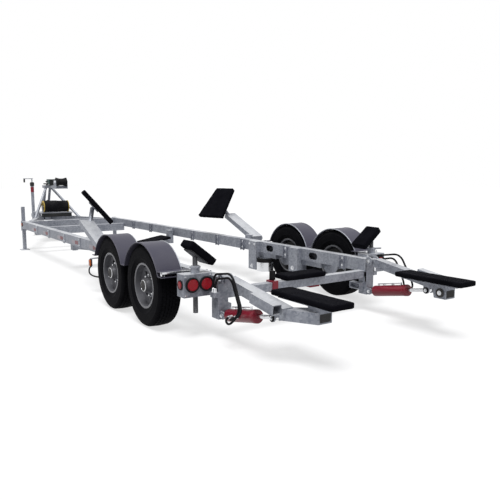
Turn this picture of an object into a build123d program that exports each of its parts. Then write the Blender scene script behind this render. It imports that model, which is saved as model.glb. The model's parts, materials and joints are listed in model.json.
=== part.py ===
"""Boat trailer with hydraulic arms: every steel piece, pad, wheel and hose as its own solid.

Millimetres, +X towards the hitch, +Y to the left, +Z up, Z = 0 on the floor.
Lengths along the trailer are counted from the rear axle and moved by along().
"""
import math
import os

from build123d import *

os.makedirs("parts", exist_ok=True)

# Tail pads, which set the rear end of the trailer
TAIL_PAD_AT = (-1703, 722)
TAIL_PAD_SIZE = (712, 214, 46)
TAIL_PAD_TOP = 528

# Main sizes
BALL_X = 9526
NOSE_X = BALL_X + 50
TAIL_X = TAIL_PAD_AT[0] - TAIL_PAD_SIZE[0] / 2
REAR_AXLE_X = -(NOSE_X + TAIL_X) / 2
AXLE_SPACING = 853
AXLE_Z = 391
SIDES = [("left", 1), ("right", -1)]
AXLES = [("front", AXLE_SPACING), ("rear", 0)]
FROM_END = (Align.CENTER, Align.CENTER, Align.MIN)
RUNNING = 0.05

# Rails
RAIL_IN = 856
RAIL_WIDE = 100
RAIL_OUT = RAIL_IN + RAIL_WIDE
RAIL_TOP = 554
RAIL_LOW = 418
RAIL_REAR = -765
RAIL_FRONT = 6450
RAIL_WALL = 6
CLEATS_X = [-419, 582, 1537, 2201, 2963, 3692, 4539, 5311]
PLAIN_OUTSIDE_TO = 1537
CLEAT_LONG = 80
CLEAT_THICK = 8
CLEAT_DROP = 12
SLOTS_X = [922, 77]
SLOT_Z = 484
SLOT_LONG = 150
SLOT_HIGH = 80

# Wheels
WHEEL_Y = 1206
STUB_R = 30
HAND_HOLES = 8
HAND_HOLE_R = 20
HAND_HOLE_PCR = 140

# Fenders
FENDER_R = 404
FENDER_THICK = 6
FENDER_OUT = 1338
FENDER_WIDE = 248
FENDER_IN = FENDER_OUT - FENDER_WIDE
VALLEY_Z = 531

# Front arms
FRONT_PIVOT = (1571, 1092, 543)
FRONT_SLOPE = 21.8
FRONT_ARM_LONG = 760
FRONT_ARM_DEEP = 66
FRONT_ARM_LIFT = 17
FRONT_BOSS_R = 38
FRONT_ARM_WIDE = 170
FRONT_PAD_AT = (2312, 931, 1036)
FRONT_PAD_NORMAL = (-0.213, -0.705, 0.623)
FRONT_PAD_TOP = (148, -185)
FRONT_PAD_LOW = (221, -248)
FRONT_PAD_RISE = 238
FRONT_PAD_DROP = 285
FRONT_PAD_THICK = 60

# Rear posts and pads
POST_X = -612
POST_Y = 1089
POST_R = 22
REAR_PAD_AT = (-582, 1038, 750)
REAR_PAD_TILT = 38
REAR_PAD_SIZE = (186, 295, 68)
OUTRIGGER_LOW = (-672, RAIL_OUT, 380)
OUTRIGGER_HIGH = (-545, 1232, 580)

# Tail arms and their cylinders
TAIL_PIVOT_X = -809
TAIL_PIVOT_Z = 538
TAIL_END_X = -1659
TAIL_END_Z = 409
BASE_PIN_Z = 218
EYE_X = -1523
EYE_Z = 350
TAIL_Y = 900
PIN_R = 15
BARREL_R = 42
ROD_R = 18
BARREL_FROM = 45
BARREL_TO = 455
BARREL_PORTS = [200, 290]
PORT_OUT = 964.7


def along(x):
    """Row position of a place counted from the rear axle."""
    return x + REAR_AXLE_X


def block(low, high, mode=Mode.ADD):
    """Box between two corners, with X counted from the rear axle."""
    middle = [(a + b) / 2 for a, b in zip(low, high)]
    size = [abs(b - a) for a, b in zip(low, high)]
    with Locations((along(middle[0]), middle[1], middle[2])):
        Box(*size, mode=mode)


def bar(start, end, radius, mode=Mode.ADD):
    """Round bar between two points, with X counted from the rear axle."""
    first = Vector(along(start[0]), start[1], start[2])
    last = Vector(along(end[0]), end[1], end[2])
    with Locations(Plane(origin=first, z_dir=last - first)):
        Cylinder(radius, (last - first).length, align=FROM_END, mode=mode)


def cross_bar(x, y, z, half, radius, mode=Mode.ADD):
    """Round bar across the trailer, centred at one place."""
    bar((x, y - half, z), (x, y + half, z), radius, mode)


def side_plane(x, y, z, angle=0):
    """Upright plane along the trailer: local x forwards and up the slope, local y up."""
    turn = math.radians(angle)
    return Plane(
        origin=(along(x), y, z),
        x_dir=(math.cos(turn), 0, math.sin(turn)),
        z_dir=(0, -1, 0),
    )


def save(builder, name):
    """Label the solid and write it as one sub-part."""
    builder.part.label = name
    export_step(builder.part, f"parts/{name}.step")


# Rails with their cleats
for name, side in SIDES:
    with BuildPart() as rail:
        block((RAIL_REAR, side * RAIL_IN, RAIL_LOW), (RAIL_FRONT, side * RAIL_OUT, RAIL_TOP))
        block(
            (RAIL_REAR, side * (RAIL_IN + RAIL_WALL), RAIL_LOW + RAIL_WALL),
            (RAIL_FRONT - RAIL_WALL, side * (RAIL_OUT - RAIL_WALL), RAIL_TOP - RAIL_WALL),
            Mode.SUBTRACT,
        )
        for slot_x in SLOTS_X:
            with BuildSketch(side_plane(slot_x, side * RAIL_IN, SLOT_Z)):
                SlotOverall(SLOT_LONG, SLOT_HIGH)
            extrude(amount=RAIL_WALL * 2, both=True, mode=Mode.SUBTRACT)
        for cleat_x in CLEATS_X:
            for face, step in ((RAIL_IN, -CLEAT_THICK), (RAIL_OUT, CLEAT_THICK)):
                if face == RAIL_OUT and cleat_x <= PLAIN_OUTSIDE_TO:
                    continue
                block(
                    (cleat_x - CLEAT_LONG / 2, side * face, RAIL_LOW - CLEAT_DROP),
                    (cleat_x + CLEAT_LONG / 2, side * (face + step), RAIL_TOP),
                )
    save(rail, f"{name}_rail")

# Cross-beams
with BuildPart() as cross_beams:
    block((RAIL_FRONT - 100, -RAIL_IN, RAIL_LOW), (RAIL_FRONT, RAIL_IN, RAIL_TOP))
    block((5810, -RAIL_IN, 339), (5910, RAIL_IN, 477))
save(cross_beams, "cross_beams")

# Tongue arms
TONGUE_LOW = 426
TONGUE_TOP = 544
with BuildPart() as tongue_arms:
    for name, side in SIDES:
        with BuildSketch(Plane.XY.offset(TONGUE_LOW)):
            with BuildLine():
                Polyline(
                    (along(RAIL_FRONT), side * 856),
                    (along(8525), side * 60),
                    (along(8295), side * 60),
                    (along(RAIL_FRONT), side * 765),
                    close=True,
                )
            make_face()
        extrude(amount=TONGUE_TOP - TONGUE_LOW)
save(tongue_arms, "tongue_arms")

# Drawbar with the ball coupler
SOCKET_R = 29.5
SOCKET_DEEP = 45
COUPLER_TOP = 508
with BuildPart() as drawbar:
    block((8200, -60, TONGUE_LOW), (9286, 60, TONGUE_TOP))
    block((9276, -50, TONGUE_LOW), (BALL_X, 50, COUPLER_TOP))
    bar((BALL_X, 0, TONGUE_LOW), (BALL_X, 0, COUPLER_TOP), 50)
    bar((BALL_X, 0, TONGUE_LOW), (BALL_X, 0, TONGUE_LOW + SOCKET_DEEP), SOCKET_R, Mode.SUBTRACT)
    block((9356, -12, COUPLER_TOP - 5), (9456, 12, 538))
    block((9296, -12, 528), (9376, 12, 548))
save(drawbar, "drawbar")

# Bow stand
APEX_X = 8081
APEX_Z = 1193
LEG_FEET = [(8428, 54), (7429, 467)]
with BuildPart() as stand_legs:
    for name, side in SIDES:
        for foot_x, foot_y in LEG_FEET:
            bar(
                (foot_x, side * foot_y, TONGUE_TOP - 20),
                (APEX_X + (30 if foot_x > APEX_X else -30), side * 50, APEX_Z - 20),
                28,
            )
    block((7100, -900, 300), (8900, 900, TONGUE_TOP), Mode.SUBTRACT)
    block((7900, -200, APEX_Z - 40), (8300, 200, APEX_Z + 60), Mode.SUBTRACT)
save(stand_legs, "stand_legs")

ROLLER_X = 7066
ROLLER_Z = 1293
with BuildPart() as stand_head:
    block((APEX_X - 100, -100, APEX_Z - 40), (APEX_X + 100, 100, APEX_Z + 20))
    block((7180, -35, APEX_Z - 40), (APEX_X - 90, 35, APEX_Z + 20))
    for side in (1, -1):
        block((7020, side * 110, APEX_Z - 40), (7190, side * 122, ROLLER_Z + 30))
    block((7170, -122, APEX_Z - 40), (7190, 122, APEX_Z + 20))
    cross_bar(ROLLER_X, 0, ROLLER_Z, 122, 12)
save(stand_head, "stand_head")

ROLLER_PROFILE = [(-104, 12.05), (104, 12.05), (104, 92), (34, 72), (-34, 72), (-104, 92)]
with BuildPart() as bow_roller:
    across = Plane(origin=(along(ROLLER_X), 0, ROLLER_Z), x_dir=(0, 1, 0), z_dir=(1, 0, 0))
    with BuildSketch(across):
        with BuildLine():
            Polyline(*ROLLER_PROFILE, close=True)
        make_face()
    revolve(axis=Axis((along(ROLLER_X), 0, ROLLER_Z), (0, 1, 0)))
save(bow_roller, "bow_roller")

with BuildPart() as winch:
    block((7680, -90, APEX_Z + 20), (7920, 90, APEX_Z + 40))
    block((7710, -70, APEX_Z + 40), (7890, 70, APEX_Z + 150))
save(winch, "winch")

# Power unit on its tray between the tongue arms
TRAY_Z = 637
DRUM_X = 7562
DRUM_Z = 767
with BuildPart() as power_tray:
    block((7425, -350, TRAY_Z - 10), (8120, 350, TRAY_Z))
    for side in (1, -1):
        block((7570, side * 312, TONGUE_TOP), (7690, side * 350, TRAY_Z - 10))
        block((DRUM_X - 40, side * 264, TRAY_Z), (DRUM_X + 40, side * 276, DRUM_Z + 20))
    block((7885, -150, TRAY_Z), (8085, 150, 865))
save(power_tray, "power_tray")

with BuildPart() as hose_reel:
    cross_bar(DRUM_X, 0, DRUM_Z, 252, 112)
    for side in (1, -1):
        cross_bar(DRUM_X, side * 258, DRUM_Z, 6, 122)
save(hose_reel, "hose_reel")

# Tongue jack beside the drawbar
JACK_X = 9050
JACK_Y = 110
JACK_FOOT_Z = 119
with BuildPart() as jack_body:
    bar((JACK_X, JACK_Y, 320), (JACK_X, JACK_Y, 1232), 36)
    block((JACK_X - 70, 60, 438), (JACK_X + 70, 90, 532))
    bar((JACK_X, JACK_Y, 300), (JACK_X, JACK_Y, 1205), 25 + RUNNING, Mode.SUBTRACT)
    bar((JACK_X, JACK_Y, 1222), (JACK_X, JACK_Y, 1262), 42)
    bar((JACK_X, JACK_Y, 1252), (JACK_X, JACK_Y, 1363), 12)
    block((JACK_X - 14, JACK_Y - 20, 1348), (JACK_X + 14, JACK_Y + 190, 1364))
    bar((JACK_X, JACK_Y + 172, 1270), (JACK_X, JACK_Y + 172, 1358), 16)
save(jack_body, "jack_body")

with BuildPart() as jack_leg:
    bar((JACK_X, JACK_Y, JACK_FOOT_Z + 10), (JACK_X, JACK_Y, 980), 25)
    bar((JACK_X, JACK_Y, JACK_FOOT_Z), (JACK_X, JACK_Y, JACK_FOOT_Z + 12), 80)
save(jack_leg, "jack_leg")

# Sleeves, outriggers, arm brackets, marker strips and hose ports welded to the rails
LEG_X = RAIL_FRONT + 41
LEG_Y = 911
LEG_TOPS = {"left": 831, "right": 548}
PORT_TOP = 420
with BuildPart() as rail_brackets:
    for name, side in SIDES:
        block((LEG_X - 41, side * (LEG_Y - 41), 370), (LEG_X + 41, side * (LEG_Y + 41), 560))
        block(
            (LEG_X - 30.5, side * (LEG_Y - 30.5), 360),
            (LEG_X + 30.5, side * (LEG_Y + 30.5), 570),
            Mode.SUBTRACT,
        )
        block(
            (OUTRIGGER_LOW[0], side * OUTRIGGER_LOW[1], OUTRIGGER_LOW[2]),
            (OUTRIGGER_HIGH[0], side * OUTRIGGER_HIGH[1], OUTRIGGER_HIGH[2]),
        )
        bar((POST_X, side * POST_Y, 580), (POST_X, side * POST_Y, 620), 40)
        bar((POST_X, side * POST_Y, 300), (POST_X, side * POST_Y, 700), POST_R + 0.1, Mode.SUBTRACT)
        pivot_x, pivot_y, pivot_z = FRONT_PIVOT
        near = pivot_y - FRONT_ARM_WIDE / 2 - 6
        far = pivot_y + FRONT_ARM_WIDE / 2 + 2
        block((pivot_x - 60, side * RAIL_OUT, pivot_z - 93), (pivot_x + 60, side * near, pivot_z + 62))
        bar((pivot_x, side * (near - 10), pivot_z), (pivot_x, side * (far + 3), pivot_z), 20)
        bar((pivot_x, side * far, pivot_z), (pivot_x, side * (far + 10), pivot_z), 32)
        block((1755, side * RAIL_OUT, RAIL_LOW), (1805, side * 1200, RAIL_LOW + 10))
        block((1755, side * 1190, 335), (1805, side * 1200, RAIL_LOW + 10))
        block((-783, side * RAIL_OUT, 375), (-719, side * 1004, PORT_TOP))
save(rail_brackets, "rail_brackets")

# Drop legs
for name, side in SIDES:
    with BuildPart() as drop_leg:
        block((LEG_X - 30, side * (LEG_Y - 30), 10), (LEG_X + 30, side * (LEG_Y + 30), LEG_TOPS[name]))
        block((LEG_X - 80, side * (LEG_Y - 80), 0), (LEG_X + 80, side * (LEG_Y + 80), 12))
    save(drop_leg, f"{name}_drop_leg")

# Tyres and wheels, profiles as (distance out from the middle, radius)
TYRE_PROFILE = [
    (84, 203.5),
    (84, 217),
    (99, 223),
    (113, 262),
    (116.5, 305),
    (113, 350),
    (101, 379),
    (80, 389),
    (40, 391),
]
RIM_PROFILE = [
    (-96, 197),
    (-96, 215.5),
    (-86, 215.5),
    (-86, 203),
    (86, 203),
    (86, 215.5),
    (96, 215.5),
    (96, 197),
    (32, 194),
    (20, 140),
    (24, 78),
    (96, 62),
    (96, 0),
    (-62, 0),
    (-62, 62),
    (8, 72),
    (6, 140),
    (18, 192),
    (-94, 195),
]
for end, axle_x in AXLES:
    for name, side in SIDES:
        spin = Axis((along(axle_x), 0, AXLE_Z), (0, 1, 0))
        hub = (along(axle_x), side * WHEEL_Y, AXLE_Z)
        disc = Plane(origin=hub, x_dir=(0, side, 0), z_dir=(side, 0, 0))
        with BuildPart() as tyre:
            with BuildSketch(disc):
                with BuildLine():
                    Polyline(*TYRE_PROFILE, *[(-y, r) for y, r in reversed(TYRE_PROFILE)], close=True)
                make_face()
            revolve(axis=spin)
        save(tyre, f"{name}_{end}_tyre")
        with BuildPart() as wheel:
            with BuildSketch(disc):
                with BuildLine():
                    Polyline(*RIM_PROFILE, close=True)
                make_face()
            revolve(axis=spin)
            face = (along(axle_x), side * (WHEEL_Y + 60), AXLE_Z)
            with BuildSketch(Plane(origin=face, x_dir=(1, 0, 0), z_dir=(0, -side, 0))):
                with PolarLocations(HAND_HOLE_PCR, HAND_HOLES):
                    Circle(HAND_HOLE_R)
            extrude(amount=70, mode=Mode.SUBTRACT)
            bar(
                (axle_x, side * (WHEEL_Y - 70), AXLE_Z),
                (axle_x, side * (WHEEL_Y + 40), AXLE_Z),
                STUB_R + RUNNING,
                Mode.SUBTRACT,
            )
        save(wheel, f"{name}_{end}_wheel")

# Hangers with their trailing arms, stub axles and brake plates
HANGERS = {"front": (1149, 1319, 180), "rear": (295, 458, 268)}
ARM_LOW = 358
with BuildPart() as axle_hangers:
    for end, axle_x in AXLES:
        hang_rear, hang_front, hang_low = HANGERS[end]
        for name, side in SIDES:
            block((hang_rear, side * 800, hang_low), (hang_front, side * RAIL_IN, RAIL_TOP))
            block((hang_rear, side * 850, hang_low), (hang_front, side * 946, RAIL_LOW))
            block((axle_x - 40, side * 878, ARM_LOW), (hang_rear + 20, side * 934, RAIL_LOW))
            bar((axle_x, side * 900, AXLE_Z), (axle_x, side * (WHEEL_Y + 30), AXLE_Z), STUB_R)
            block(
                (axle_x - 60, side * 870, RAIL_LOW),
                (axle_x + 60, side * 960, RAIL_LOW + 40),
                Mode.SUBTRACT,
            )
            bar((axle_x, side * 1062, AXLE_Z), (axle_x, side * 1080, AXLE_Z), 130)
save(axle_hangers, "axle_hangers")

# Air springs under the front trailing arms
with BuildPart() as spring_cans:
    for name, side in SIDES:
        bar((1000, side * 842, 190), (1000, side * 842, 305), 110)
        bar((1000, side * 842, 300), (1000, side * 842, ARM_LOW), 80)
save(spring_cans, "spring_cans")

# Fenders
for name, side in SIDES:
    with BuildPart() as fender:
        with BuildSketch(side_plane(0, side * FENDER_IN, 0)):
            with Locations((0, AXLE_Z), (AXLE_SPACING, AXLE_Z)):
                Circle(FENDER_R + FENDER_THICK)
            with Locations((0, AXLE_Z), (AXLE_SPACING, AXLE_Z)):
                Circle(FENDER_R, mode=Mode.SUBTRACT)
            with Locations((AXLE_SPACING / 2, VALLEY_Z - 500)):
                Rectangle(3000, 1000, mode=Mode.SUBTRACT)
        extrude(amount=-side * (FENDER_OUT - FENDER_IN))
        for plate_x, plate_long in ((AXLE_SPACING / 2, 96), (-421, 88), (AXLE_SPACING + 421, 88)):
            block(
                (plate_x - plate_long / 2, side * RAIL_OUT, VALLEY_Z),
                (plate_x + plate_long / 2, side * FENDER_OUT, VALLEY_Z + 8),
            )
    save(fender, f"{name}_fender")

# Front swing arms and pads
NECK_FROM_END = 110
NECK_INWARD = 25
for name, side in SIDES:
    normal = Vector(FRONT_PAD_NORMAL[0], side * FRONT_PAD_NORMAL[1], FRONT_PAD_NORMAL[2]).normalized()
    level = Vector(-normal.Y, normal.X, 0).normalized() * side
    centre = Vector(along(FRONT_PAD_AT[0]), side * FRONT_PAD_AT[1], FRONT_PAD_AT[2])
    with BuildPart() as front_arm:
        arm_plane = side_plane(FRONT_PIVOT[0], side * FRONT_PIVOT[1], FRONT_PIVOT[2], FRONT_SLOPE)
        with BuildSketch(arm_plane):
            with Locations((FRONT_ARM_LONG / 2 - 30, FRONT_ARM_LIFT)):
                Rectangle(FRONT_ARM_LONG, FRONT_ARM_DEEP)
            Circle(FRONT_BOSS_R)
        extrude(amount=FRONT_ARM_WIDE / 2, both=True)
        back = centre - normal * (FRONT_PAD_THICK / 2 + 26)
        neck = arm_plane.from_local_coords((FRONT_ARM_LONG - NECK_FROM_END, 0, 0))
        foot = Vector(neck.X, neck.Y - side * NECK_INWARD, neck.Z)
        with BuildSketch(Plane(origin=foot, z_dir=back - foot)):
            Circle(28)
        extrude(amount=(back - foot).length)
        swivel = centre - normal * (FRONT_PAD_THICK / 2 + 16)
        with BuildSketch(Plane(origin=swivel, x_dir=level, z_dir=normal)):
            Circle(85)
        extrude(amount=16)
        cross_bar(FRONT_PIVOT[0], side * FRONT_PIVOT[1], FRONT_PIVOT[2], 90, 20 + RUNNING, Mode.SUBTRACT)
    save(front_arm, f"{name}_front_arm")
    with BuildPart() as front_pad:
        with BuildSketch(Plane(origin=centre - normal * (FRONT_PAD_THICK / 2), x_dir=level, z_dir=normal)):
            with BuildLine():
                Polyline(
                    (FRONT_PAD_TOP[0], side * FRONT_PAD_RISE),
                    (FRONT_PAD_TOP[1], side * FRONT_PAD_RISE),
                    (FRONT_PAD_LOW[1], -side * FRONT_PAD_DROP),
                    (FRONT_PAD_LOW[0], -side * FRONT_PAD_DROP),
                    close=True,
                )
            make_face()
        extrude(amount=FRONT_PAD_THICK)
    save(front_pad, f"{name}_front_pad")

# Lamps
LAMPS_Y = [1020, 1156]
LAMP_Z = 490
LAMP_BACK = OUTRIGGER_LOW[0]
with BuildPart() as lamp_grommets:
    for name, side in SIDES:
        for lamp_y in LAMPS_Y:
            bar((LAMP_BACK, side * lamp_y, LAMP_Z), (LAMP_BACK - 14, side * lamp_y, LAMP_Z), 62)
save(lamp_grommets, "lamp_grommets")

with BuildPart() as red_lamps:
    for name, side in SIDES:
        for lamp_y in LAMPS_Y:
            bar((LAMP_BACK - 14, side * lamp_y, LAMP_Z), (LAMP_BACK - 24, side * lamp_y, LAMP_Z), 53)
        block((-645, side * 1232, 470), (-575, side * 1246, 505))
save(red_lamps, "red_lamps")

with BuildPart() as amber_markers:
    for name, side in SIDES:
        block((1760, side * 1200, 340), (1800, side * 1222, 400))
save(amber_markers, "amber_markers")

# Rear screw posts and pads
for name, side in SIDES:
    tilt = math.radians(REAR_PAD_TILT)
    normal = Vector(0, -side * math.sin(tilt), math.cos(tilt))
    centre = Vector(along(REAR_PAD_AT[0]), side * REAR_PAD_AT[1], REAR_PAD_AT[2])
    pad_long, pad_wide, pad_thick = REAR_PAD_SIZE
    with BuildPart() as rear_post:
        bar((POST_X, side * POST_Y, 226), (POST_X, side * POST_Y, 722), POST_R)
        with BuildSketch(Plane(origin=centre - normal * (pad_thick / 2 + 14), x_dir=(1, 0, 0), z_dir=normal)):
            Rectangle(140, 200)
        extrude(amount=14)
    save(rear_post, f"{name}_rear_post")
    with BuildPart() as rear_pad:
        with BuildSketch(Plane(origin=centre - normal * (pad_thick / 2), x_dir=(1, 0, 0), z_dir=normal)):
            Rectangle(pad_long, pad_wide)
        extrude(amount=pad_thick)
    save(rear_pad, f"{name}_rear_pad")

# Tail posts with the clevis ears of the arms and cylinders
EAR_THICK = 12
EAR_REACH = RAIL_REAR - 10 - TAIL_PIVOT_X
EARS = [(TAIL_PIVOT_Z, 43, 48), (BASE_PIN_Z, 34, 32)]
POST_LOW = 178
GUSSET_THICK = 10
GUSSET_TOP_X = -665
GUSSET_LOW_X = -554
CRADLE_X = (-740, -585)
CRADLE_Z = (230, 300)
CRADLE_IN = 800
CRADLE_WALL = 10
with BuildPart() as tail_posts:
    for name, side in SIDES:
        block((RAIL_REAR, side * RAIL_IN, POST_LOW), (RAIL_REAR + 100, side * RAIL_OUT, RAIL_LOW))
        block((RAIL_REAR - 12, side * RAIL_IN, POST_LOW), (RAIL_REAR, side * RAIL_OUT, RAIL_TOP))
        for ear in (1, -1):
            for pin_z, ear_r, ear_off in EARS:
                with BuildSketch(side_plane(TAIL_PIVOT_X, side * TAIL_Y + ear * ear_off, pin_z)):
                    Circle(ear_r)
                    with Locations((EAR_REACH / 2, 0)):
                        Rectangle(EAR_REACH, ear_r * 2)
                extrude(amount=EAR_THICK / 2, both=True)
        with BuildSketch(side_plane(0, side * (RAIL_IN - GUSSET_THICK), 0)):
            with BuildLine():
                Polyline(
                    (RAIL_REAR, RAIL_TOP),
                    (GUSSET_TOP_X, RAIL_TOP),
                    (GUSSET_LOW_X, RAIL_LOW),
                    (RAIL_REAR, RAIL_LOW),
                    close=True,
                )
            make_face()
        extrude(amount=-side * GUSSET_THICK)
        block((CRADLE_X[0], side * CRADLE_IN, CRADLE_Z[0]), (CRADLE_X[1], side * RAIL_IN, CRADLE_Z[1]))
        block(
            (CRADLE_X[0] + CRADLE_WALL, side * (CRADLE_IN - CRADLE_WALL), CRADLE_Z[0] + CRADLE_WALL),
            (CRADLE_X[1] - CRADLE_WALL, side * (RAIL_IN - CRADLE_WALL), CRADLE_Z[1] - CRADLE_WALL),
            Mode.SUBTRACT,
        )
        cross_bar(TAIL_PIVOT_X, side * TAIL_Y, TAIL_PIVOT_Z, 62, 20)
        cross_bar(TAIL_PIVOT_X, side * TAIL_Y, BASE_PIN_Z, 46, PIN_R)
save(tail_posts, "tail_posts")

# Tail arms and pads
ARM_DEEP = 84
STUB_LIFT = 26
STUB_LONG = 296
STUB_DEEP = 80
STUB_WALL = 6
EYE_EAR_R = 32
PAD_LOW = TAIL_PAD_TOP - TAIL_PAD_SIZE[2]
TAIL_DROP = math.degrees(math.atan2(TAIL_PIVOT_Z - TAIL_END_Z, TAIL_PIVOT_X - TAIL_END_X))
TAIL_LONG = math.hypot(TAIL_PIVOT_X - TAIL_END_X, TAIL_PIVOT_Z - TAIL_END_Z)
for name, side in SIDES:
    pad_place = Plane(origin=(along(TAIL_PAD_AT[0]), side * TAIL_PAD_AT[1], PAD_LOW))
    with BuildPart() as tail_arm:
        arm_plane = side_plane(TAIL_PIVOT_X, side * TAIL_Y, TAIL_PIVOT_Z, TAIL_DROP)
        with BuildSketch(arm_plane):
            with Locations((-(TAIL_LONG + 66) / 2, 0)):
                Rectangle(TAIL_LONG - 66, ARM_DEEP)
        extrude(amount=50, both=True)
        with BuildSketch(arm_plane):
            Circle(27)
            with Locations((-45, 0)):
                Rectangle(90, 54)
        extrude(amount=35, both=True)
        with BuildSketch(side_plane(TAIL_PIVOT_X, side * (TAIL_Y + 83), TAIL_PIVOT_Z, TAIL_DROP)):
            with Locations((-688, STUB_LIFT)):
                Rectangle(STUB_LONG, STUB_DEEP)
        extrude(amount=STUB_DEEP / 2, both=True)
        with BuildSketch(side_plane(TAIL_PIVOT_X, side * (TAIL_Y + 83), TAIL_PIVOT_Z, TAIL_DROP)):
            with Locations((-688 - STUB_WALL, STUB_LIFT)):
                Rectangle(STUB_LONG, STUB_DEEP - 2 * STUB_WALL)
        extrude(amount=STUB_DEEP / 2 - STUB_WALL, both=True, mode=Mode.SUBTRACT)
        for ear in (1, -1):
            with BuildSketch(side_plane(EYE_X, side * TAIL_Y + ear * 34, EYE_Z)):
                Circle(EYE_EAR_R)
                with Locations((0, (TAIL_END_Z - EYE_Z) / 2)):
                    Rectangle(EYE_EAR_R * 2, TAIL_END_Z - EYE_Z)
            extrude(amount=EAR_THICK / 2, both=True)
        cross_bar(EYE_X, side * TAIL_Y, EYE_Z, 48, PIN_R)
        with BuildSketch(Plane.XY.offset(350)):
            with BuildLine():
                Polyline(
                    (along(-1605), side * 940),
                    (along(-1605), side * 855),
                    (along(-1760), side * 662),
                    (along(-1880), side * 662),
                    (along(-1880), side * 792),
                    close=True,
                )
            make_face()
        extrude(amount=88)
        block((-1880, side * 662, 350), (-1760, side * 792, PAD_LOW - 12))
        with BuildSketch(pad_place.offset(-12)):
            Rectangle(TAIL_PAD_SIZE[0] - 120, TAIL_PAD_SIZE[1] - 64)
        extrude(amount=12)
        cross_bar(TAIL_PIVOT_X, side * TAIL_Y, TAIL_PIVOT_Z, 60, 20 + RUNNING, Mode.SUBTRACT)
    save(tail_arm, f"{name}_tail_arm")
    with BuildPart() as tail_pad:
        with BuildSketch(pad_place):
            Rectangle(TAIL_PAD_SIZE[0], TAIL_PAD_SIZE[1])
        extrude(amount=TAIL_PAD_SIZE[2])
    save(tail_pad, f"{name}_tail_pad")

# Cylinders: barrel on the post, rod to the arm
STROKE = Vector(EYE_X - TAIL_PIVOT_X, 0, EYE_Z - BASE_PIN_Z)
REACH = STROKE.length
LINE = STROKE.normalized()
LIFT = math.degrees(math.atan2(STROKE.Z, -STROKE.X))
for name, side in SIDES:
    base = Vector(along(TAIL_PIVOT_X), side * TAIL_Y, BASE_PIN_Z)
    with BuildPart() as barrel:
        with BuildSketch(Plane(origin=base + LINE * BARREL_FROM, z_dir=LINE)):
            Circle(BARREL_R)
        extrude(amount=BARREL_TO - BARREL_FROM)
        with BuildSketch(side_plane(TAIL_PIVOT_X, side * TAIL_Y, BASE_PIN_Z, -LIFT)):
            Circle(25)
            with Locations((-30, 0)):
                Rectangle(60, 44)
        extrude(amount=20, both=True)
        for port in BARREL_PORTS:
            place = LINE * port
            bar(
                (TAIL_PIVOT_X + place.X, side * (TAIL_Y + 36), BASE_PIN_Z + place.Z),
                (TAIL_PIVOT_X + place.X, side * PORT_OUT, BASE_PIN_Z + place.Z),
                14,
            )
        with BuildSketch(Plane(origin=base + LINE * 190, z_dir=LINE)):
            Circle(ROD_R + RUNNING)
        extrude(amount=BARREL_TO, mode=Mode.SUBTRACT)
        cross_bar(TAIL_PIVOT_X, side * TAIL_Y, BASE_PIN_Z, 30, PIN_R + RUNNING, Mode.SUBTRACT)
    save(barrel, f"{name}_barrel")
    with BuildPart() as rod:
        with BuildSketch(Plane(origin=base + LINE * 240, z_dir=LINE)):
            Circle(ROD_R)
        extrude(amount=REACH - 240 - 24)
        with BuildSketch(side_plane(EYE_X, side * TAIL_Y, EYE_Z, -LIFT)):
            Circle(24)
            with Locations((22, 0)):
                Rectangle(44, 36)
        extrude(amount=20, both=True)
        cross_bar(EYE_X, side * TAIL_Y, EYE_Z, 30, PIN_R + 4, Mode.SUBTRACT)
    save(rod, f"{name}_rod")

# Hoses from the ports on the rail over to the ports on the barrel
HOSE_R = 9.5
OUTER_HOSE = [
    (-735, 982, 420),
    (-735, 985, 575),
    (-1078, 1010, 632),
    (-1252, 1022, 330),
    (-1150, 1086, 268),
    (-1094.2, 1020, 270.7),
    (-1094.2, 965, 270.7),
]
INNER_HOSE = [
    (-766, 982, 420),
    (-766, 983, 535),
    (-1030, 988, 590),
    (-1168, 990, 330),
    (-1090, 1050, 200),
    (-1005.7, 1040, 254.4),
    (-1005.7, 965, 254.4),
]


def bend_radii(points):
    """Largest even bends of a hose: each takes 0.45 of the shorter run beside it."""
    radii = []
    for before, here, after in zip(points, points[1:], points[2:]):
        first = Vector(*here) - Vector(*before)
        second = Vector(*after) - Vector(*here)
        half_turn = math.radians(first.get_angle(second)) / 2
        radii.append(0.45 * min(first.length, second.length) / math.tan(half_turn))
    return radii


for name, side in SIDES:
    for hose_name, points in (("outer_hose", OUTER_HOSE), ("inner_hose", INNER_HOSE)):
        path = [(along(x), side * y, z) for x, y, z in points]
        radii = bend_radii(path)
        with BuildPart() as hose:
            with BuildLine() as route:
                FilletPolyline(*path, radius=radii)
            with BuildSketch(Plane(origin=path[0], z_dir=(0, 0, 1))):
                Circle(HOSE_R)
            sweep(path=route.wires()[0])
        save(hose, f"{name}_{hose_name}")
        print(name, hose_name, round(route.wires()[0].length), "long, bends", [round(r) for r in radii])

# Keel supports
KEEL_X = 3688
BEAM_X = (-752, -672)
BEAM_Z = (353, 433)
KEEL_PAD_THICK = 50
KEEL_PAD_Y = (-280, 200)
CLAMP_WALL = 16
CLAMP_Y = (298, 358)
with BuildPart() as keel_beams:
    block((BEAM_X[0], -RAIL_IN + GUSSET_THICK, BEAM_Z[0]), (BEAM_X[1], RAIL_IN - GUSSET_THICK, BEAM_Z[1]))
    for side in (1, -1):
        block((KEEL_X - 60, side * 770, 290), (KEEL_X + 60, side * (RAIL_IN - CLEAT_THICK), 510))
    with BuildSketch(Plane(origin=(along(KEEL_X - 60), 0, 0), x_dir=(0, 1, 0), z_dir=(1, 0, 0))):
        with BuildLine():
            Polyline((780, 386), (0, 256), (-780, 386), (-780, 306), (0, 176), (780, 306), close=True)
        make_face()
    extrude(amount=120)
save(keel_beams, "keel_beams")

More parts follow.
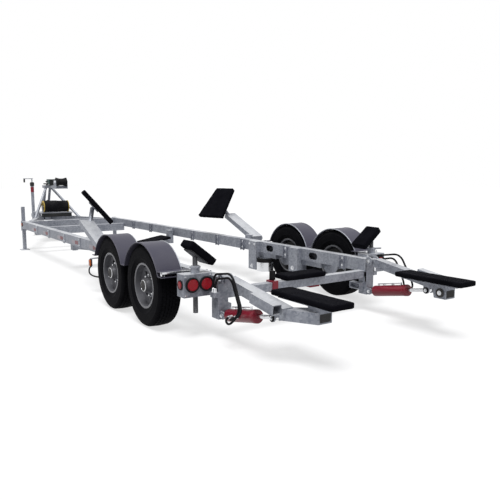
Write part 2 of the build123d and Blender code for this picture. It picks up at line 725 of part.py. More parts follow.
with BuildPart() as keel_pads:
    block((-785, KEEL_PAD_Y[0], BEAM_Z[1]), (-575, KEEL_PAD_Y[1], BEAM_Z[1] + KEEL_PAD_THICK))
    with BuildSketch(Plane(origin=(along(KEEL_X - 180), 0, 0), x_dir=(0, 1, 0), z_dir=(1, 0, 0))):
        for side in (1, -1):
            with BuildLine():
                Polyline(
                    (side * 40, 256 + 40 / 6),
                    (side * 740, 256 + 740 / 6),
                    (side * 740, 296 + 740 / 6),
                    (side * 40, 296 + 40 / 6),
                    close=True,
                )
            make_face()
    extrude(amount=360)
save(keel_pads, "keel_pads")

with BuildPart() as keel_clamps:
    block(
        (BEAM_X[0] - CLAMP_WALL, CLAMP_Y[0], BEAM_Z[0] - CLAMP_WALL),
        (BEAM_X[1] + CLAMP_WALL, CLAMP_Y[1], BEAM_Z[1] + CLAMP_WALL),
    )
    block((BEAM_X[0], CLAMP_Y[0] - 10, BEAM_Z[0]), (BEAM_X[1], CLAMP_Y[1] + 10, BEAM_Z[1]), Mode.SUBTRACT)
    block((-744, -232, BEAM_Z[0] - 20), (-680, -110, BEAM_Z[0]))
save(keel_clamps, "keel_clamps")
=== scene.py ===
"""Looks of the boat trailer.

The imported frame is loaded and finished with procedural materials. Each class then adds what the
CAD leaves out: tyre tread, carpet, hoses, fasteners, welds, lenses, stripes and small trim.
Places are written in millimetres counted from the rear axle, as in the part's own source.
"""

from __future__ import annotations

import json
import logging
import math
from dataclasses import dataclass
from dataclasses import field
from enum import Enum

import bmesh
import bpy
from mathutils import Matrix
from mathutils import Vector
from mathutils import noise

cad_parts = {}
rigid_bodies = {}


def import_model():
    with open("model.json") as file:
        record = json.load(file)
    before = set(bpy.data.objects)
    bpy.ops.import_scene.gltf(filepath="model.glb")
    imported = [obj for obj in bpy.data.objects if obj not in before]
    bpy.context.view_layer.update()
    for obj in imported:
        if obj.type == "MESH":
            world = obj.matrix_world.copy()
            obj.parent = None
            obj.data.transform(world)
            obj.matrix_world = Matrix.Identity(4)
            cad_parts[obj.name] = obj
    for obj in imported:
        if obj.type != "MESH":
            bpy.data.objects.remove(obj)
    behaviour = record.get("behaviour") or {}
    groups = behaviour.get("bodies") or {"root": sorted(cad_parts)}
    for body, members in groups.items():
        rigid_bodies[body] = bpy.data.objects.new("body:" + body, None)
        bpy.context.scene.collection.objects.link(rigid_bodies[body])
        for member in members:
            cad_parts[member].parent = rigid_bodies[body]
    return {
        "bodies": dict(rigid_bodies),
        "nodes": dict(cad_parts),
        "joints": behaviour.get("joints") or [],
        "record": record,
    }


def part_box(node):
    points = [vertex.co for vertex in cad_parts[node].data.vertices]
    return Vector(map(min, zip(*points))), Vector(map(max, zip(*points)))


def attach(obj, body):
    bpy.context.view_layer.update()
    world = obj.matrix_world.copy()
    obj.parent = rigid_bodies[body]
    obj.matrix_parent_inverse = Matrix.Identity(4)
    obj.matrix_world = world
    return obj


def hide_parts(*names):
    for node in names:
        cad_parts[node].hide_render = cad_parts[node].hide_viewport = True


LOG = logging.getLogger("trailer")
Triple = tuple[float, float, float]
Profile = list[tuple[float, float]]
Seams = tuple[tuple[Triple, Triple], ...]
SIDES = (("left", 1), ("right", -1))
ENDS = ("front", "rear")
TURN = 2 * math.pi
OUTER_CLEATS = (2201, 2963, 3692, 4539, 5311)
INNER_CLEATS = (-419, 582, 1537, *OUTER_CLEATS)


class Slot(Enum):
    """Material slots of the record."""

    ZINC = "galvanised"
    BRIGHT = "bright_metal"
    FENDER = "fender"
    WHEEL = "wheel"
    TYRE = "tyre"
    CARPET = "carpet"
    RED = "red_paint"
    BLACK = "black_metal"
    RUBBER = "black_rubber"
    RED_LENS = "red_lens"
    AMBER_LENS = "amber_lens"


class Term:
    """A node socket that takes part in sums, products and comparisons."""

    def __init__(self, graph: Graph, socket: bpy.types.NodeSocket) -> None:
        """Keep the socket with its graph.

        Args:
            graph: Graph that owns the socket.
            socket: Output socket to be linked on.
        """
        self.graph = graph
        self.socket = socket

    def maths(self, operation: str, first: Term | float, second: Term | float = 0.0) -> Term:
        """Add one maths node.

        Args:
            operation: Blender's name of the operation.
            first: First operand.
            second: Second operand.

        Returns:
            The node's value.
        """
        return self.graph.node("ShaderNodeMath", {"operation": operation}, {0: first, 1: second})

    def __add__(self, other: Term | float) -> Term:
        """Add a term or a number."""
        return self.maths("ADD", self, other)

    def __radd__(self, other: float) -> Term:
        """Add this term to a number."""
        return self.maths("ADD", other, self)

    def __sub__(self, other: Term | float) -> Term:
        """Take away a term or a number."""
        return self.maths("SUBTRACT", self, other)

    def __rsub__(self, other: float) -> Term:
        """Take this term away from a number."""
        return self.maths("SUBTRACT", other, self)

    def __mul__(self, other: Term | float) -> Term:
        """Multiply by a term or a number."""
        return self.maths("MULTIPLY", self, other)

    def __rmul__(self, other: float) -> Term:
        """Multiply a number by this term."""
        return self.maths("MULTIPLY", other, self)

    def __truediv__(self, other: Term | float) -> Term:
        """Divide by a term or a number."""
        return self.maths("DIVIDE", self, other)

    def __rtruediv__(self, other: float) -> Term:
        """Divide a number by this term."""
        return self.maths("DIVIDE", other, self)

    def __gt__(self, other: Term | float) -> Term:
        """Return 1 where this term is the larger, else 0."""
        return self.maths("GREATER_THAN", self, other)

    def sine(self) -> Term:
        """Return the sine of the value."""
        return self.maths("SINE", self)

    def ramp(self, low: float, high: float) -> Term:
        """Rise smoothly from 0 at low to 1 at high.

        Args:
            low: Value where the result is 0.
            high: Value where the result is 1.

        Returns:
            The smoothed value, kept between 0 and 1.
        """
        settings = {"interpolation_type": "SMOOTHSTEP"}
        return self.graph.node("ShaderNodeMapRange", settings, {0: self, 1: low, 2: high})


class Graph:
    """A node tree with one way of making nodes."""

    def __init__(self, tree: bpy.types.NodeTree) -> None:
        """Keep the tree.

        Args:
            tree: Shader or geometry tree to fill.
        """
        self.tree = tree

    def node(self, kind: str, settings: dict, values: dict, output: int | str = 0) -> Term:
        """Make a node, set it up and give its sockets their values or links.

        Args:
            kind: Blender's node type.
            settings: Attributes set before the sockets are touched.
            values: Socket index or name to a constant, a term, or a list of terms.
            output: Index or name of the socket to return.

        Returns:
            The chosen output.
        """
        made = self.tree.nodes.new(kind)
        for name, value in settings.items():
            setattr(made, name, value)
        for key, value in values.items():
            for part in value if isinstance(value, list) else [value]:
                if isinstance(part, Term):
                    self.tree.links.new(part.socket, made.inputs[key])
                else:
                    made.inputs[key].default_value = part
        return Term(self, made.outputs[output])


class Shader(Graph):
    """A material under construction, laid out in object coordinates."""

    def __init__(self, name: str) -> None:
        """Make the material with its Principled shader.

        Args:
            name: Name of the material.
        """
        self.material = bpy.data.materials.new(name)
        self.material.use_nodes = True
        super().__init__(self.material.node_tree)
        self.surface = self.tree.nodes["Principled BSDF"]
        self.place = self.node("ShaderNodeTexCoord", {}, {}, "Object")

    def stretched(self, factors: Triple) -> Term:
        """Scale the coordinates by a factor for each axis.

        Args:
            factors: Factors along X, Y and Z.

        Returns:
            The scaled coordinates.
        """
        settings = {"operation": "MULTIPLY"}
        return self.node("ShaderNodeVectorMath", settings, {0: self.place, 1: factors})

    def cloud(self, scale: float, detail: float = 3.0, place: Term | None = None) -> Term:
        """Soft noise from 0 to 1.

        Args:
            scale: Features in each metre.
            detail: Octaves.
            place: Coordinates, if not the plain ones.

        Returns:
            The noise value.
        """
        values = {"Vector": place or self.place, "Scale": scale, "Detail": detail}
        return self.node("ShaderNodeTexNoise", {}, values, 0)

    def cells(self, scale: float) -> Term:
        """One random value for each crystal of a broken-up surface.

        Args:
            scale: Crystals in each metre.

        Returns:
            The value of the crystal.
        """
        values = {"Vector": self.place, "Scale": scale}
        return self.node("ShaderNodeTexVoronoi", {}, values, "Color")

    def axis(self, name: str) -> Term:
        """One coordinate.

        Args:
            name: X, Y or Z.

        Returns:
            The coordinate in metres.
        """
        return self.node("ShaderNodeSeparateXYZ", {}, {0: self.place}, name)

    def blend(self, amount: Term | float, first: Term | Triple, second: Term | Triple) -> Term:
        """Mix two colours.

        Args:
            amount: 0 for the first, 1 for the second.
            first: First colour.
            second: Second colour.

        Returns:
            The mixed colour.
        """
        ends = [(*c, 1.0) if isinstance(c, tuple) else c for c in (first, second)]
        return self.node("ShaderNodeMix", {"data_type": "RGBA"}, {0: amount, 6: ends[0], 7: ends[1]}, 2)

    def upward(self) -> Term:
        """How far a face looks up.

        Returns:
            1 for upper faces, 0 for walls, -1 for lower faces.
        """
        facing = self.node("ShaderNodeTexCoord", {}, {}, "Normal")
        return self.node("ShaderNodeSeparateXYZ", {}, {0: facing}, "Z")

    def edge_wear(self, radius: float = 0.006) -> Term:
        """How much of an outer edge a point lies on.

        Args:
            radius: Reach of the edge in metres.

        Returns:
            About 0 on flat faces, rising at edges.
        """
        bent = self.node("ShaderNodeBevel", {"samples": 4}, {"Radius": radius})
        flat = self.node("ShaderNodeNewGeometry", {}, {}, "Normal")
        facing = self.node("ShaderNodeVectorMath", {"operation": "DOT_PRODUCT"}, {0: bent, 1: flat}, "Value")
        return (1.0 - facing).ramp(0.02, 0.25)

    def finish(
        self,
        colour: Term | Triple,
        roughness: Term | float,
        metallic: float = 0.0,
        height: Term | None = None,
        depth: float = 0.001,
        **constants: float,
    ) -> bpy.types.Material:
        """Feed the Principled shader.

        Args:
            colour: Base colour.
            roughness: Roughness.
            metallic: Constant metallic level.
            height: Relief from 0 to 1, if any.
            depth: Depth of the relief in metres.
            constants: Other sockets by name, with underscores for spaces.

        Returns:
            The material.
        """
        feeds = {"Base Color": colour, "Roughness": roughness, "Metallic": metallic}
        feeds.update({name.replace("_", " "): value for name, value in constants.items()})
        if height is not None:
            values = {"Height": height, "Distance": depth, "Strength": 1.0}
            feeds["Normal"] = self.node("ShaderNodeBump", {}, values)
        for name, value in feeds.items():
            if isinstance(value, Term):
                self.tree.links.new(value.socket, self.surface.inputs[name])
            else:
                self.surface.inputs[name].default_value = (*value, 1.0) if isinstance(value, tuple) else value
        return self.material


@dataclass(frozen=True)
class Zinc:
    """Hot-dip galvanised steel: spangle, cloudy patches, runs, bright edges, and upper faces painted lighter
    as a painted highlight of the light from above.
    """

    name: str = "hot_dip_zinc"
    light: Triple = (0.44, 0.46, 0.51)
    dark: Triple = (0.19, 0.205, 0.25)
    # Colour and amount of the painted highlight on faces that look up.
    painted_top_light: Triple = (0.78, 0.79, 0.81)
    painted_top_light_amount: float = 0.72
    spangle: float = 55.0

    def make(self) -> bpy.types.Material:
        """Return the material."""
        shader = Shader(self.name)
        crystal = shader.cells(self.spangle)
        patch = shader.cloud(2.6, 5.0)
        runs = shader.cloud(9.0, 3.0, shader.stretched((1.0, 1.0, 0.16)))
        shade = 0.34 * crystal + 0.42 * patch + 0.34 * runs
        bare = shader.blend(shade.ramp(0.25, 0.85), self.dark, self.light)
        # Painted highlight: faces that look up are painted lighter, standing in for the light that falls on
        # them from above.
        painted_top_light_mask = self.painted_top_light_amount * shader.upward().ramp(0.45, 0.95) * (0.55 + 0.7 * patch).ramp(0.6, 1.1)
        base = shader.blend(painted_top_light_mask, bare, self.painted_top_light)
        colour = shader.blend(0.30 * shader.edge_wear(), base, (0.82, 0.84, 0.86))
        grain = shader.cloud(420.0, 2.0)
        rough = 0.36 + 0.20 * patch + 0.10 * crystal
        return shader.finish(colour, rough, 0.35, 0.4 * crystal + 0.6 * grain, 0.0005)


@dataclass(frozen=True)
class Bright:
    """Turned or plated steel with fine marks along it."""

    name: str = "bright_steel"
    colour: Triple = (0.74, 0.75, 0.77)

    def make(self) -> bpy.types.Material:
        """Return the material."""
        shader = Shader(self.name)
        marks = shader.cloud(60.0, 4.0, shader.stretched((1.0, 1.0, 6.0)))
        smear = shader.cloud(7.0, 3.0)
        colour = shader.blend(smear, self.colour, tuple(0.86 * c for c in self.colour))
        return shader.finish(colour, 0.12 + 0.18 * marks * smear, 1.0, marks, 0.0001)


@dataclass(frozen=True)
class Paint:
    """Sprayed paint with orange peel, dust on it and rubbed edges."""

    name: str
    colour: Triple
    gloss: float = 0.35
    metallic: float = 0.0
    dust: Triple = (0.30, 0.29, 0.28)
    dusty: float = 0.16
    worn: Triple = (0.42, 0.42, 0.44)
    coat: float = 0.0
    shine: float = 0.5

    def make(self) -> bpy.types.Material:
        """Return the material."""
        shader = Shader(self.name)
        film = shader.cloud(3.4, 5.0)
        speck = shader.cloud(130.0, 3.0)
        dirty = self.dusty * (film * 1.2 + 0.5 * speck).ramp(0.45, 1.15)
        base = shader.blend(dirty, self.colour, self.dust)
        worn = shader.edge_wear(0.004) * speck.ramp(0.42, 0.62)
        colour = shader.blend(0.7 * worn, base, self.worn)
        rough = self.gloss + 0.22 * film * self.gloss + 0.4 * dirty
        peel = shader.cloud(260.0, 2.0)
        return shader.finish(
            colour,
            rough,
            self.metallic,
            peel,
            0.0003,
            Coat_Weight=self.coat,
            Coat_Roughness=0.12,
            Specular_IOR_Level=self.shine,
        )


@dataclass(frozen=True)
class Rubber:
    """Black rubber, greyed by dust in cloudy patches."""

    name: str = "black_rubber"
    colour: Triple = (0.011, 0.011, 0.013)
    dust: Triple = (0.045, 0.043, 0.042)
    grain: float = 300.0
    shine: float = 0.08

    def make(self) -> bpy.types.Material:
        """Return the material."""
        shader = Shader(self.name)
        film = shader.cloud(8.0, 5.0)
        pores = shader.cloud(self.grain, 3.0)
        colour = shader.blend(0.55 * film.ramp(0.4, 0.8), self.colour, self.dust)
        return shader.finish(colour, 0.52 + 0.22 * film, 0.0, pores, 0.0004, Specular_IOR_Level=self.shine)


@dataclass(frozen=True)
class Carpet:
    """Short black marine carpet with matted fibres."""

    name: str = "marine_carpet"
    colour: Triple = (0.004, 0.004, 0.006)
    tips: Triple = (0.016, 0.016, 0.021)

    def make(self) -> bpy.types.Material:
        """Return the material."""
        shader = Shader(self.name)
        fibre = shader.cloud(520.0, 3.0)
        tuft = shader.cloud(150.0, 4.0)
        flat = shader.cloud(9.0, 3.0)
        colour = shader.blend((0.7 * fibre + 0.5 * flat).ramp(0.5, 1.0), self.colour, self.tips)
        relief = 0.5 * fibre + 0.5 * tuft
        return shader.finish(colour, 0.93, 0.0, relief, 0.0022, Specular_IOR_Level=0.03)


@dataclass(frozen=True)
class Lens:
    """Moulded lamp lens: deep colour under a clear skin with fine flutes."""

    name: str
    colour: Triple
    deep: Triple

    def make(self) -> bpy.types.Material:
        """Return the material."""
        shader = Shader(self.name)
        flutes = 0.5 + 0.5 * (shader.axis("Y") * 900.0).sine() * (shader.axis("Z") * 900.0).sine()
        haze = shader.cloud(40.0, 3.0)
        colour = shader.blend(0.6 * flutes + 0.3 * haze, self.deep, self.colour)
        gloss = {"Coat_Weight": 0.2, "Coat_Roughness": 0.05, "Specular_IOR_Level": 0.25}
        return shader.finish(colour, 0.14 + 0.12 * haze, 0.0, flutes, 0.0008, **gloss)


@dataclass(frozen=True)
class Tape:
    """Reflective tape with a fine honeycomb and scuffs."""

    name: str
    colour: Triple

    def make(self) -> bpy.types.Material:
        """Return the material."""
        shader = Shader(self.name)
        comb = shader.cells(260.0)
        scuff = shader.cloud(30.0, 4.0)
        colour = shader.blend(0.35 * comb + 0.25 * scuff, self.colour, tuple(0.6 * c for c in self.colour))
        return shader.finish(colour, 0.28 + 0.2 * scuff, 0.0, comb, 0.0002)


@dataclass(frozen=True)
class Thread:
    """Zinc-coated screw bar whose thread is cut as relief along Z; its grooves are painted darker and its
    crests lighter, as painted shade and highlight.
    """

    name: str = "screw_bar"
    pitch: float = 0.006

    def make(self) -> bpy.types.Material:
        """Return the material."""
        shader = Shader(self.name)
        ridge = 0.5 + 0.5 * (shader.axis("Z") * (TURN / self.pitch)).sine()
        grease = shader.cloud(25.0, 3.0)
        # Painted shade in the grooves and painted highlight on the crests follow the ridge wave; the grease
        # clouds add real tone.
        colour = shader.blend(ridge * 0.7 + 0.2 * grease, (0.05, 0.05, 0.055), (0.22, 0.225, 0.24))
        return shader.finish(colour, 0.34 + 0.2 * grease, 0.5, ridge, 0.0025)


class Finishes:
    """Every material of the trailer, made once."""

    def __init__(self) -> None:
        """Make the materials of the slots and of the small extras."""
        tyre = Rubber("tyre_rubber", (0.0065, 0.0065, 0.008), (0.016, 0.016, 0.018), 240.0, 0.02)
        red = Paint("cylinder_red", (0.27, 0.007, 0.026), 0.28, dusty=0.03, coat=0.15, shine=0.3)
        self.by_slot = {
            Slot.ZINC: Zinc().make(),
            Slot.BRIGHT: Bright().make(),
            Slot.FENDER: Paint("fender_grey", (0.070, 0.068, 0.100), 0.40, dusty=0.10, shine=0.22).make(),
            Slot.WHEEL: Paint("wheel_silver", (0.17, 0.172, 0.19), 0.30, 0.3, dusty=0.08, shine=0.4).make(),
            Slot.TYRE: tyre.make(),
            Slot.CARPET: Carpet().make(),
            Slot.RED: red.make(),
            Slot.BLACK: Paint("black_metal", (0.008, 0.010, 0.011), 0.40, dusty=0.10, shine=0.2).make(),
            Slot.RUBBER: Rubber().make(),
            Slot.RED_LENS: Lens("red_lens", (0.62, 0.003, 0.020), (0.20, 0.0, 0.006)).make(),
            Slot.AMBER_LENS: Lens("amber_lens", (0.85, 0.20, 0.012), (0.42, 0.06, 0.004)).make(),
        }
        self.thread = Thread().make()
        # A darker copy of the zinc: darker weld metal on the welds, and painted shade on the cleat ribs.
        self.weld_and_shade_zinc = Zinc("weld_and_shaded_zinc", (0.26, 0.275, 0.33), (0.11, 0.12, 0.155), painted_top_light_amount=0.4).make()
        self.yellow = Paint("reel_yellow", (0.62, 0.42, 0.02), 0.36).make()
        self.tape_red = Tape("tape_red", (0.20, 0.008, 0.022)).make()
        self.tape_white = Tape("tape_white", (0.46, 0.42, 0.47)).make()
        self.teal = Paint("winch_teal", (0.012, 0.055, 0.055), 0.36, shine=0.3).make()
        # Dark finish: dark paint on the wheel caps and drums, and painted shade on the tail-arm bracket ends.
        self.dark_paint_and_shade = Paint("dark_paint_and_painted_shade", (0.02, 0.02, 0.022), 0.8, dusty=0.3).make()

    def __getitem__(self, slot: Slot) -> bpy.types.Material:
        """Return the material of a slot.

        Args:
            slot: Slot of the record.

        Returns:
            Its material.
        """
        return self.by_slot[slot]


class Pattern(Graph):
    """A Geometry Nodes tree with named inputs that repeats the mesh it is given."""

    def __init__(self, name: str, inputs: dict[str, str]) -> None:
        """Make the tree and its sockets.

        Args:
            name: Name of the tree.
            inputs: Input name to socket type, after the geometry.
        """
        super().__init__(bpy.data.node_groups.new(name, "GeometryNodeTree"))
        face = self.tree.interface
        face.new_socket("Geometry", in_out="INPUT", socket_type="NodeSocketGeometry")
        self.keys = {}
        for title, kind in {**inputs, "Material": "NodeSocketMaterial"}.items():
            self.keys[title] = face.new_socket(title, in_out="INPUT", socket_type=kind).identifier
        face.new_socket("Geometry", in_out="OUTPUT", socket_type="NodeSocketGeometry")
        self.source = self.tree.nodes.new("NodeGroupInput")

    def given(self, title: str) -> Term:
        """Return a named input.

        Args:
            title: Name of the input.

        Returns:
            Its value inside the tree.
        """
        return Term(self, self.source.outputs[title])

    def close(self, instances: Term) -> None:
        """Turn the instances into mesh with their material and end the tree.

        Args:
            instances: Geometry to be given out.
        """
        real = self.node("GeometryNodeRealizeInstances", {}, {"Geometry": instances})
        values = {"Geometry": real, "Material": self.given("Material")}
        dressed = self.node("GeometryNodeSetMaterial", {}, values)
        end = self.tree.nodes.new("NodeGroupOutput")
        self.tree.links.new(dressed.socket, end.inputs[0])

    def run(self, piece: bpy.types.Object, **values: object) -> bpy.types.Object:
        """Apply the tree to a piece.

        Args:
            piece: Object whose mesh is the repeated shape or the points.
            values: Inputs by name, with underscores for spaces.

        Returns:
            The same object with the finished plain mesh.
        """
        modifier = piece.modifiers.new("pattern", "NODES")
        modifier.node_group = self.tree
        for title, value in values.items():
            modifier[self.keys[title.replace("_", " ")]] = value
        bpy.context.view_layer.update()
        graph = bpy.context.evaluated_depsgraph_get()
        made = bpy.data.meshes.new_from_object(piece.evaluated_get(graph), depsgraph=graph)
        piece.modifiers.remove(modifier)
        old = piece.data
        piece.data = made
        bpy.data.meshes.remove(old)
        return piece


class Ring(Pattern):
    """Repeats a shape round an axis along Y."""

    def __init__(self) -> None:
        """Lay out the tree."""
        super().__init__("ring_of_copies", {"Count": "NodeSocketInt", "Centre": "NodeSocketVector"})
        count = self.given("Count")
        points = self.node("GeometryNodePoints", {}, {"Count": count, "Position": self.given("Centre")})
        angle = self.node("GeometryNodeInputIndex", {}, {}) * TURN / count
        euler = self.node("ShaderNodeCombineXYZ", {}, {"Y": angle})
        turn = self.node("FunctionNodeEulerToRotation", {}, {0: euler})
        values = {"Points": points, "Instance": self.given("Geometry"), "Rotation": turn}
        self.close(self.node("GeometryNodeInstanceOnPoints", {}, values))


class Row(Pattern):
    """Repeats a shape along a straight line."""

    def __init__(self) -> None:
        """Lay out the tree."""
        super().__init__("row_of_copies", {"Count": "NodeSocketInt", "Step": "NodeSocketVector"})
        index = self.node("GeometryNodeInputIndex", {}, {})
        values = {0: self.given("Step"), "Scale": index}
        place = self.node("ShaderNodeVectorMath", {"operation": "SCALE"}, values)
        points = self.node("GeometryNodePoints", {}, {"Count": self.given("Count"), "Position": place})
        values = {"Points": points, "Instance": self.given("Geometry")}
        self.close(self.node("GeometryNodeInstanceOnPoints", {}, values))


class Bolts(Pattern):
    """Sets a hexagon bolt on a washer at every point, along its facing and at its size."""

    def __init__(self) -> None:
        """Lay out the tree."""
        sizes = {"Head Radius": "NodeSocketFloat", "Head Height": "NodeSocketFloat"}
        super().__init__("hexagon_bolts", sizes)
        radius = self.given("Head Radius")
        height = self.given("Head Height")
        parts = []
        for sides, wide, tall, lift in ((16, 1.35, 0.3, 0.15), (6, 1.0, 1.0, 0.8), (10, 0.55, 0.35, 1.45)):
            values = {"Vertices": sides, "Radius": radius * wide, "Depth": height * tall}
            shape = self.node("GeometryNodeMeshCylinder", {}, values)
            up = self.node("ShaderNodeCombineXYZ", {}, {"Z": height * lift})
            parts.append(self.node("GeometryNodeTransform", {}, {"Geometry": shape, "Translation": up}))
        bolt = self.node("GeometryNodeJoinGeometry", {}, {0: parts})
        kind = {"data_type": "FLOAT_VECTOR"}
        facing = self.node("GeometryNodeInputNamedAttribute", kind, {"Name": "facing"})
        size = self.node("GeometryNodeInputNamedAttribute", {"data_type": "FLOAT"}, {"Name": "size"})
        turn = self.node("FunctionNodeAlignRotationToVector", {"axis": "Z"}, {"Vector": facing})
        values = {"Points": self.given("Geometry"), "Instance": bolt, "Rotation": turn, "Scale": size}
        self.close(self.node("GeometryNodeInstanceOnPoints", {}, values))


class Shape:
    """A mesh under construction, in metres in the trailer's frame."""

    def __init__(self) -> None:
        """Start empty."""
        self.mesh = bmesh.new()

    def box(self, low: Triple | Vector, high: Triple | Vector, bevel: float = 0.0, steps: int = 2) -> Shape:
        """Add a box between two corners.

        Args:
            low: One corner.
            high: The opposite corner.
            bevel: Width of the rounded edges.
            steps: Faces across a rounded edge.

        Returns:
            This shape.
        """
        first = Vector(low)
        last = Vector(high)
        size = Matrix.Diagonal([abs(a - b) for a, b in zip(first, last)] + [1.0])
        place = Matrix.Translation((first + last) / 2) @ size
        corners = bmesh.ops.create_cube(self.mesh, size=1.0, matrix=place)["verts"]
        if bevel:
            edges = list({edge for corner in corners for edge in corner.link_edges})
            bmesh.ops.bevel(self.mesh, geom=edges, offset=bevel, segments=steps, affect="EDGES", profile=0.5)
        return self

    def rod(self, start: Triple | Vector, end: Triple | Vector, radius: float, sides: int = 24) -> Shape:
        """Add a round or sided bar between two points.

        Args:
            start: Centre of one end.
            end: Centre of the other end.
            radius: Radius.
            sides: Faces round it.

        Returns:
            This shape.
        """
        first = Vector(start)
        line = Vector(end) - first
        turn = line.to_track_quat("Z", "Y").to_matrix().to_4x4()
        place = Matrix.Translation(first + line / 2) @ turn
        bmesh.ops.create_cone(
            self.mesh,
            cap_ends=True,
            segments=sides,
            radius1=radius,
            radius2=radius,
            depth=line.length,
            matrix=place,
        )
        return self

    def lathe(self, profile: Profile, centre: Vector, axis: Vector, sides: int = 48) -> Shape:
        """Turn a profile round an axis.

        Args:
            profile: Distances along the axis with their radii.
            centre: Point of the axis where the distance is 0.
            axis: Direction of the axis.
            sides: Faces round it.

        Returns:
            This shape.
        """
        turn = axis.to_track_quat("Z", "Y").to_matrix()
        rings = []
        for step in range(sides):
            angle = TURN * step / sides
            ray = Vector((math.cos(angle), math.sin(angle), 0.0))
            spots = [centre + turn @ (ray * radius + Vector((0.0, 0.0, along))) for along, radius in profile]
            rings.append([self.mesh.verts.new(spot) for spot in spots])
        for here, after in zip(rings, rings[1:] + rings[:1]):
            for low in range(len(profile) - 1):
                self.mesh.faces.new((here[low], after[low], after[low + 1], here[low + 1]))
        return self

    def tube(self, path: list[Vector], radius: float, sides: int = 12) -> Shape:
        """Sweep a round section along a path.

        Args:
            path: Points of the middle line.
            radius: Radius.
            sides: Faces round it.

        Returns:
            This shape.
        """
        ways = [(after - before).normalized() for before, after in zip(path, path[1:])]
        bends = [ways[0]] + [(a + b).normalized() for a, b in zip(ways, ways[1:])] + [ways[-1]]
        side = ways[0].orthogonal().normalized()
        rings = []
        for spot, way in zip(path, bends):
            side = (side - way * side.dot(way)).normalized()
            other = way.cross(side)
            angles = [TURN * step / sides for step in range(sides)]
            spots = [spot + (side * math.cos(angle) + other * math.sin(angle)) * radius for angle in angles]
            rings.append([self.mesh.verts.new(place) for place in spots])
        for here, after in zip(rings, rings[1:]):
            for step in range(sides):
                other_step = (step + 1) % sides
                self.mesh.faces.new((here[step], here[other_step], after[other_step], after[step]))
        self.mesh.faces.new(rings[0])
        self.mesh.faces.new(rings[-1])
        return self

    def prism(self, outline: list[Vector], lift: Vector) -> Shape:
        """Raise a flat outline.

        Args:
            outline: Corners in order.
            lift: Way to the other end.

        Returns:
            This shape.
        """
        base = [self.mesh.verts.new(corner) for corner in outline]
        top = [self.mesh.verts.new(corner + lift) for corner in outline]
        self.mesh.faces.new(base)
        self.mesh.faces.new(top)
        for here, after in zip(range(len(base)), list(range(1, len(base))) + [0]):
            self.mesh.faces.new((base[here], base[after], top[after], top[here]))
        return self

    def piece(self, name: str, material: bpy.types.Material | None, angle: float = 35.0) -> bpy.types.Object:
        """Close the mesh and make the object.

        Args:
            name: Name of the object.
            material: Its finish, or None where a pattern sets it.
            angle: Edges sharper than this stay sharp, in degrees.

        Returns:
            The object, linked to the scene.
        """
        bmesh.ops.remove_doubles(self.mesh, verts=self.mesh.verts, dist=1e-6)
        bmesh.ops.recalc_face_normals(self.mesh, faces=self.mesh.faces)
        data = bpy.data.meshes.new(name)
        self.mesh.to_mesh(data)
        self.mesh.free()
        if material:
            data.materials.append(material)
        data.polygons.foreach_set("use_smooth", [True] * len(data.polygons))
        data.set_sharp_from_angle(angle=math.radians(angle))
        made = bpy.data.objects.new(name, data)
        bpy.context.scene.collection.objects.link(made)
        return made


class Yard:
    """What every sub-assembly needs: the frame, the finishes, the patterns and the places."""

    def __init__(self, frame: dict) -> None:
        """Make the shared things.
        """
        self.frame = frame
        self.finishes = Finishes()
        self.ring = Ring()
        self.row = Row()
        self.bolts = Bolts()
        low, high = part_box("left_rear_tyre")
        self.axle_x = (low[0] + high[0]) / 2

    def at(self, x: float, y: float, z: float) -> Vector:
        """Row place of millimetres counted from the rear axle.

        Args:
            x: Forwards.
            y: To the left.
            z: Up.

        Returns:
            The place in metres.
        """
        return Vector((x / 1000 + self.axle_x, y / 1000, z / 1000))

    def settle(
        self,
        piece: bpy.types.Object,
        body: str,
        slot: Slot,
        instead_of: tuple[str, ...] = (),
    ) -> bpy.types.Object:
        """Parent a finished piece to its body and hide the CAD nodes it stands for.

        Args:
            piece: The object.
            body: Body it rides on.
            slot: Not used.
            instead_of: CAD nodes that it stands for.

        Returns:
            The object.
        """
        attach(piece, body)
        if instead_of:
            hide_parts(*instead_of)
        LOG.info("%s on %s", piece.name, body)
        return piece

    def place(
        self,
        shape: Shape,
        name: str,
        body: str,
        slot: Slot,
        finish: bpy.types.Material | None = None,
    ) -> bpy.types.Object:
        """Make a shape a finished piece on a body.

        Args:
            shape: Shape to close.
            name: Name of the piece.
            body: Body it rides on.
            slot: Material slot it belongs to.
            finish: Its material, if not the slot's own.

        Returns:
            The object.
        """
        return self.settle(shape.piece(name, finish or self.finishes[slot]), body, slot)


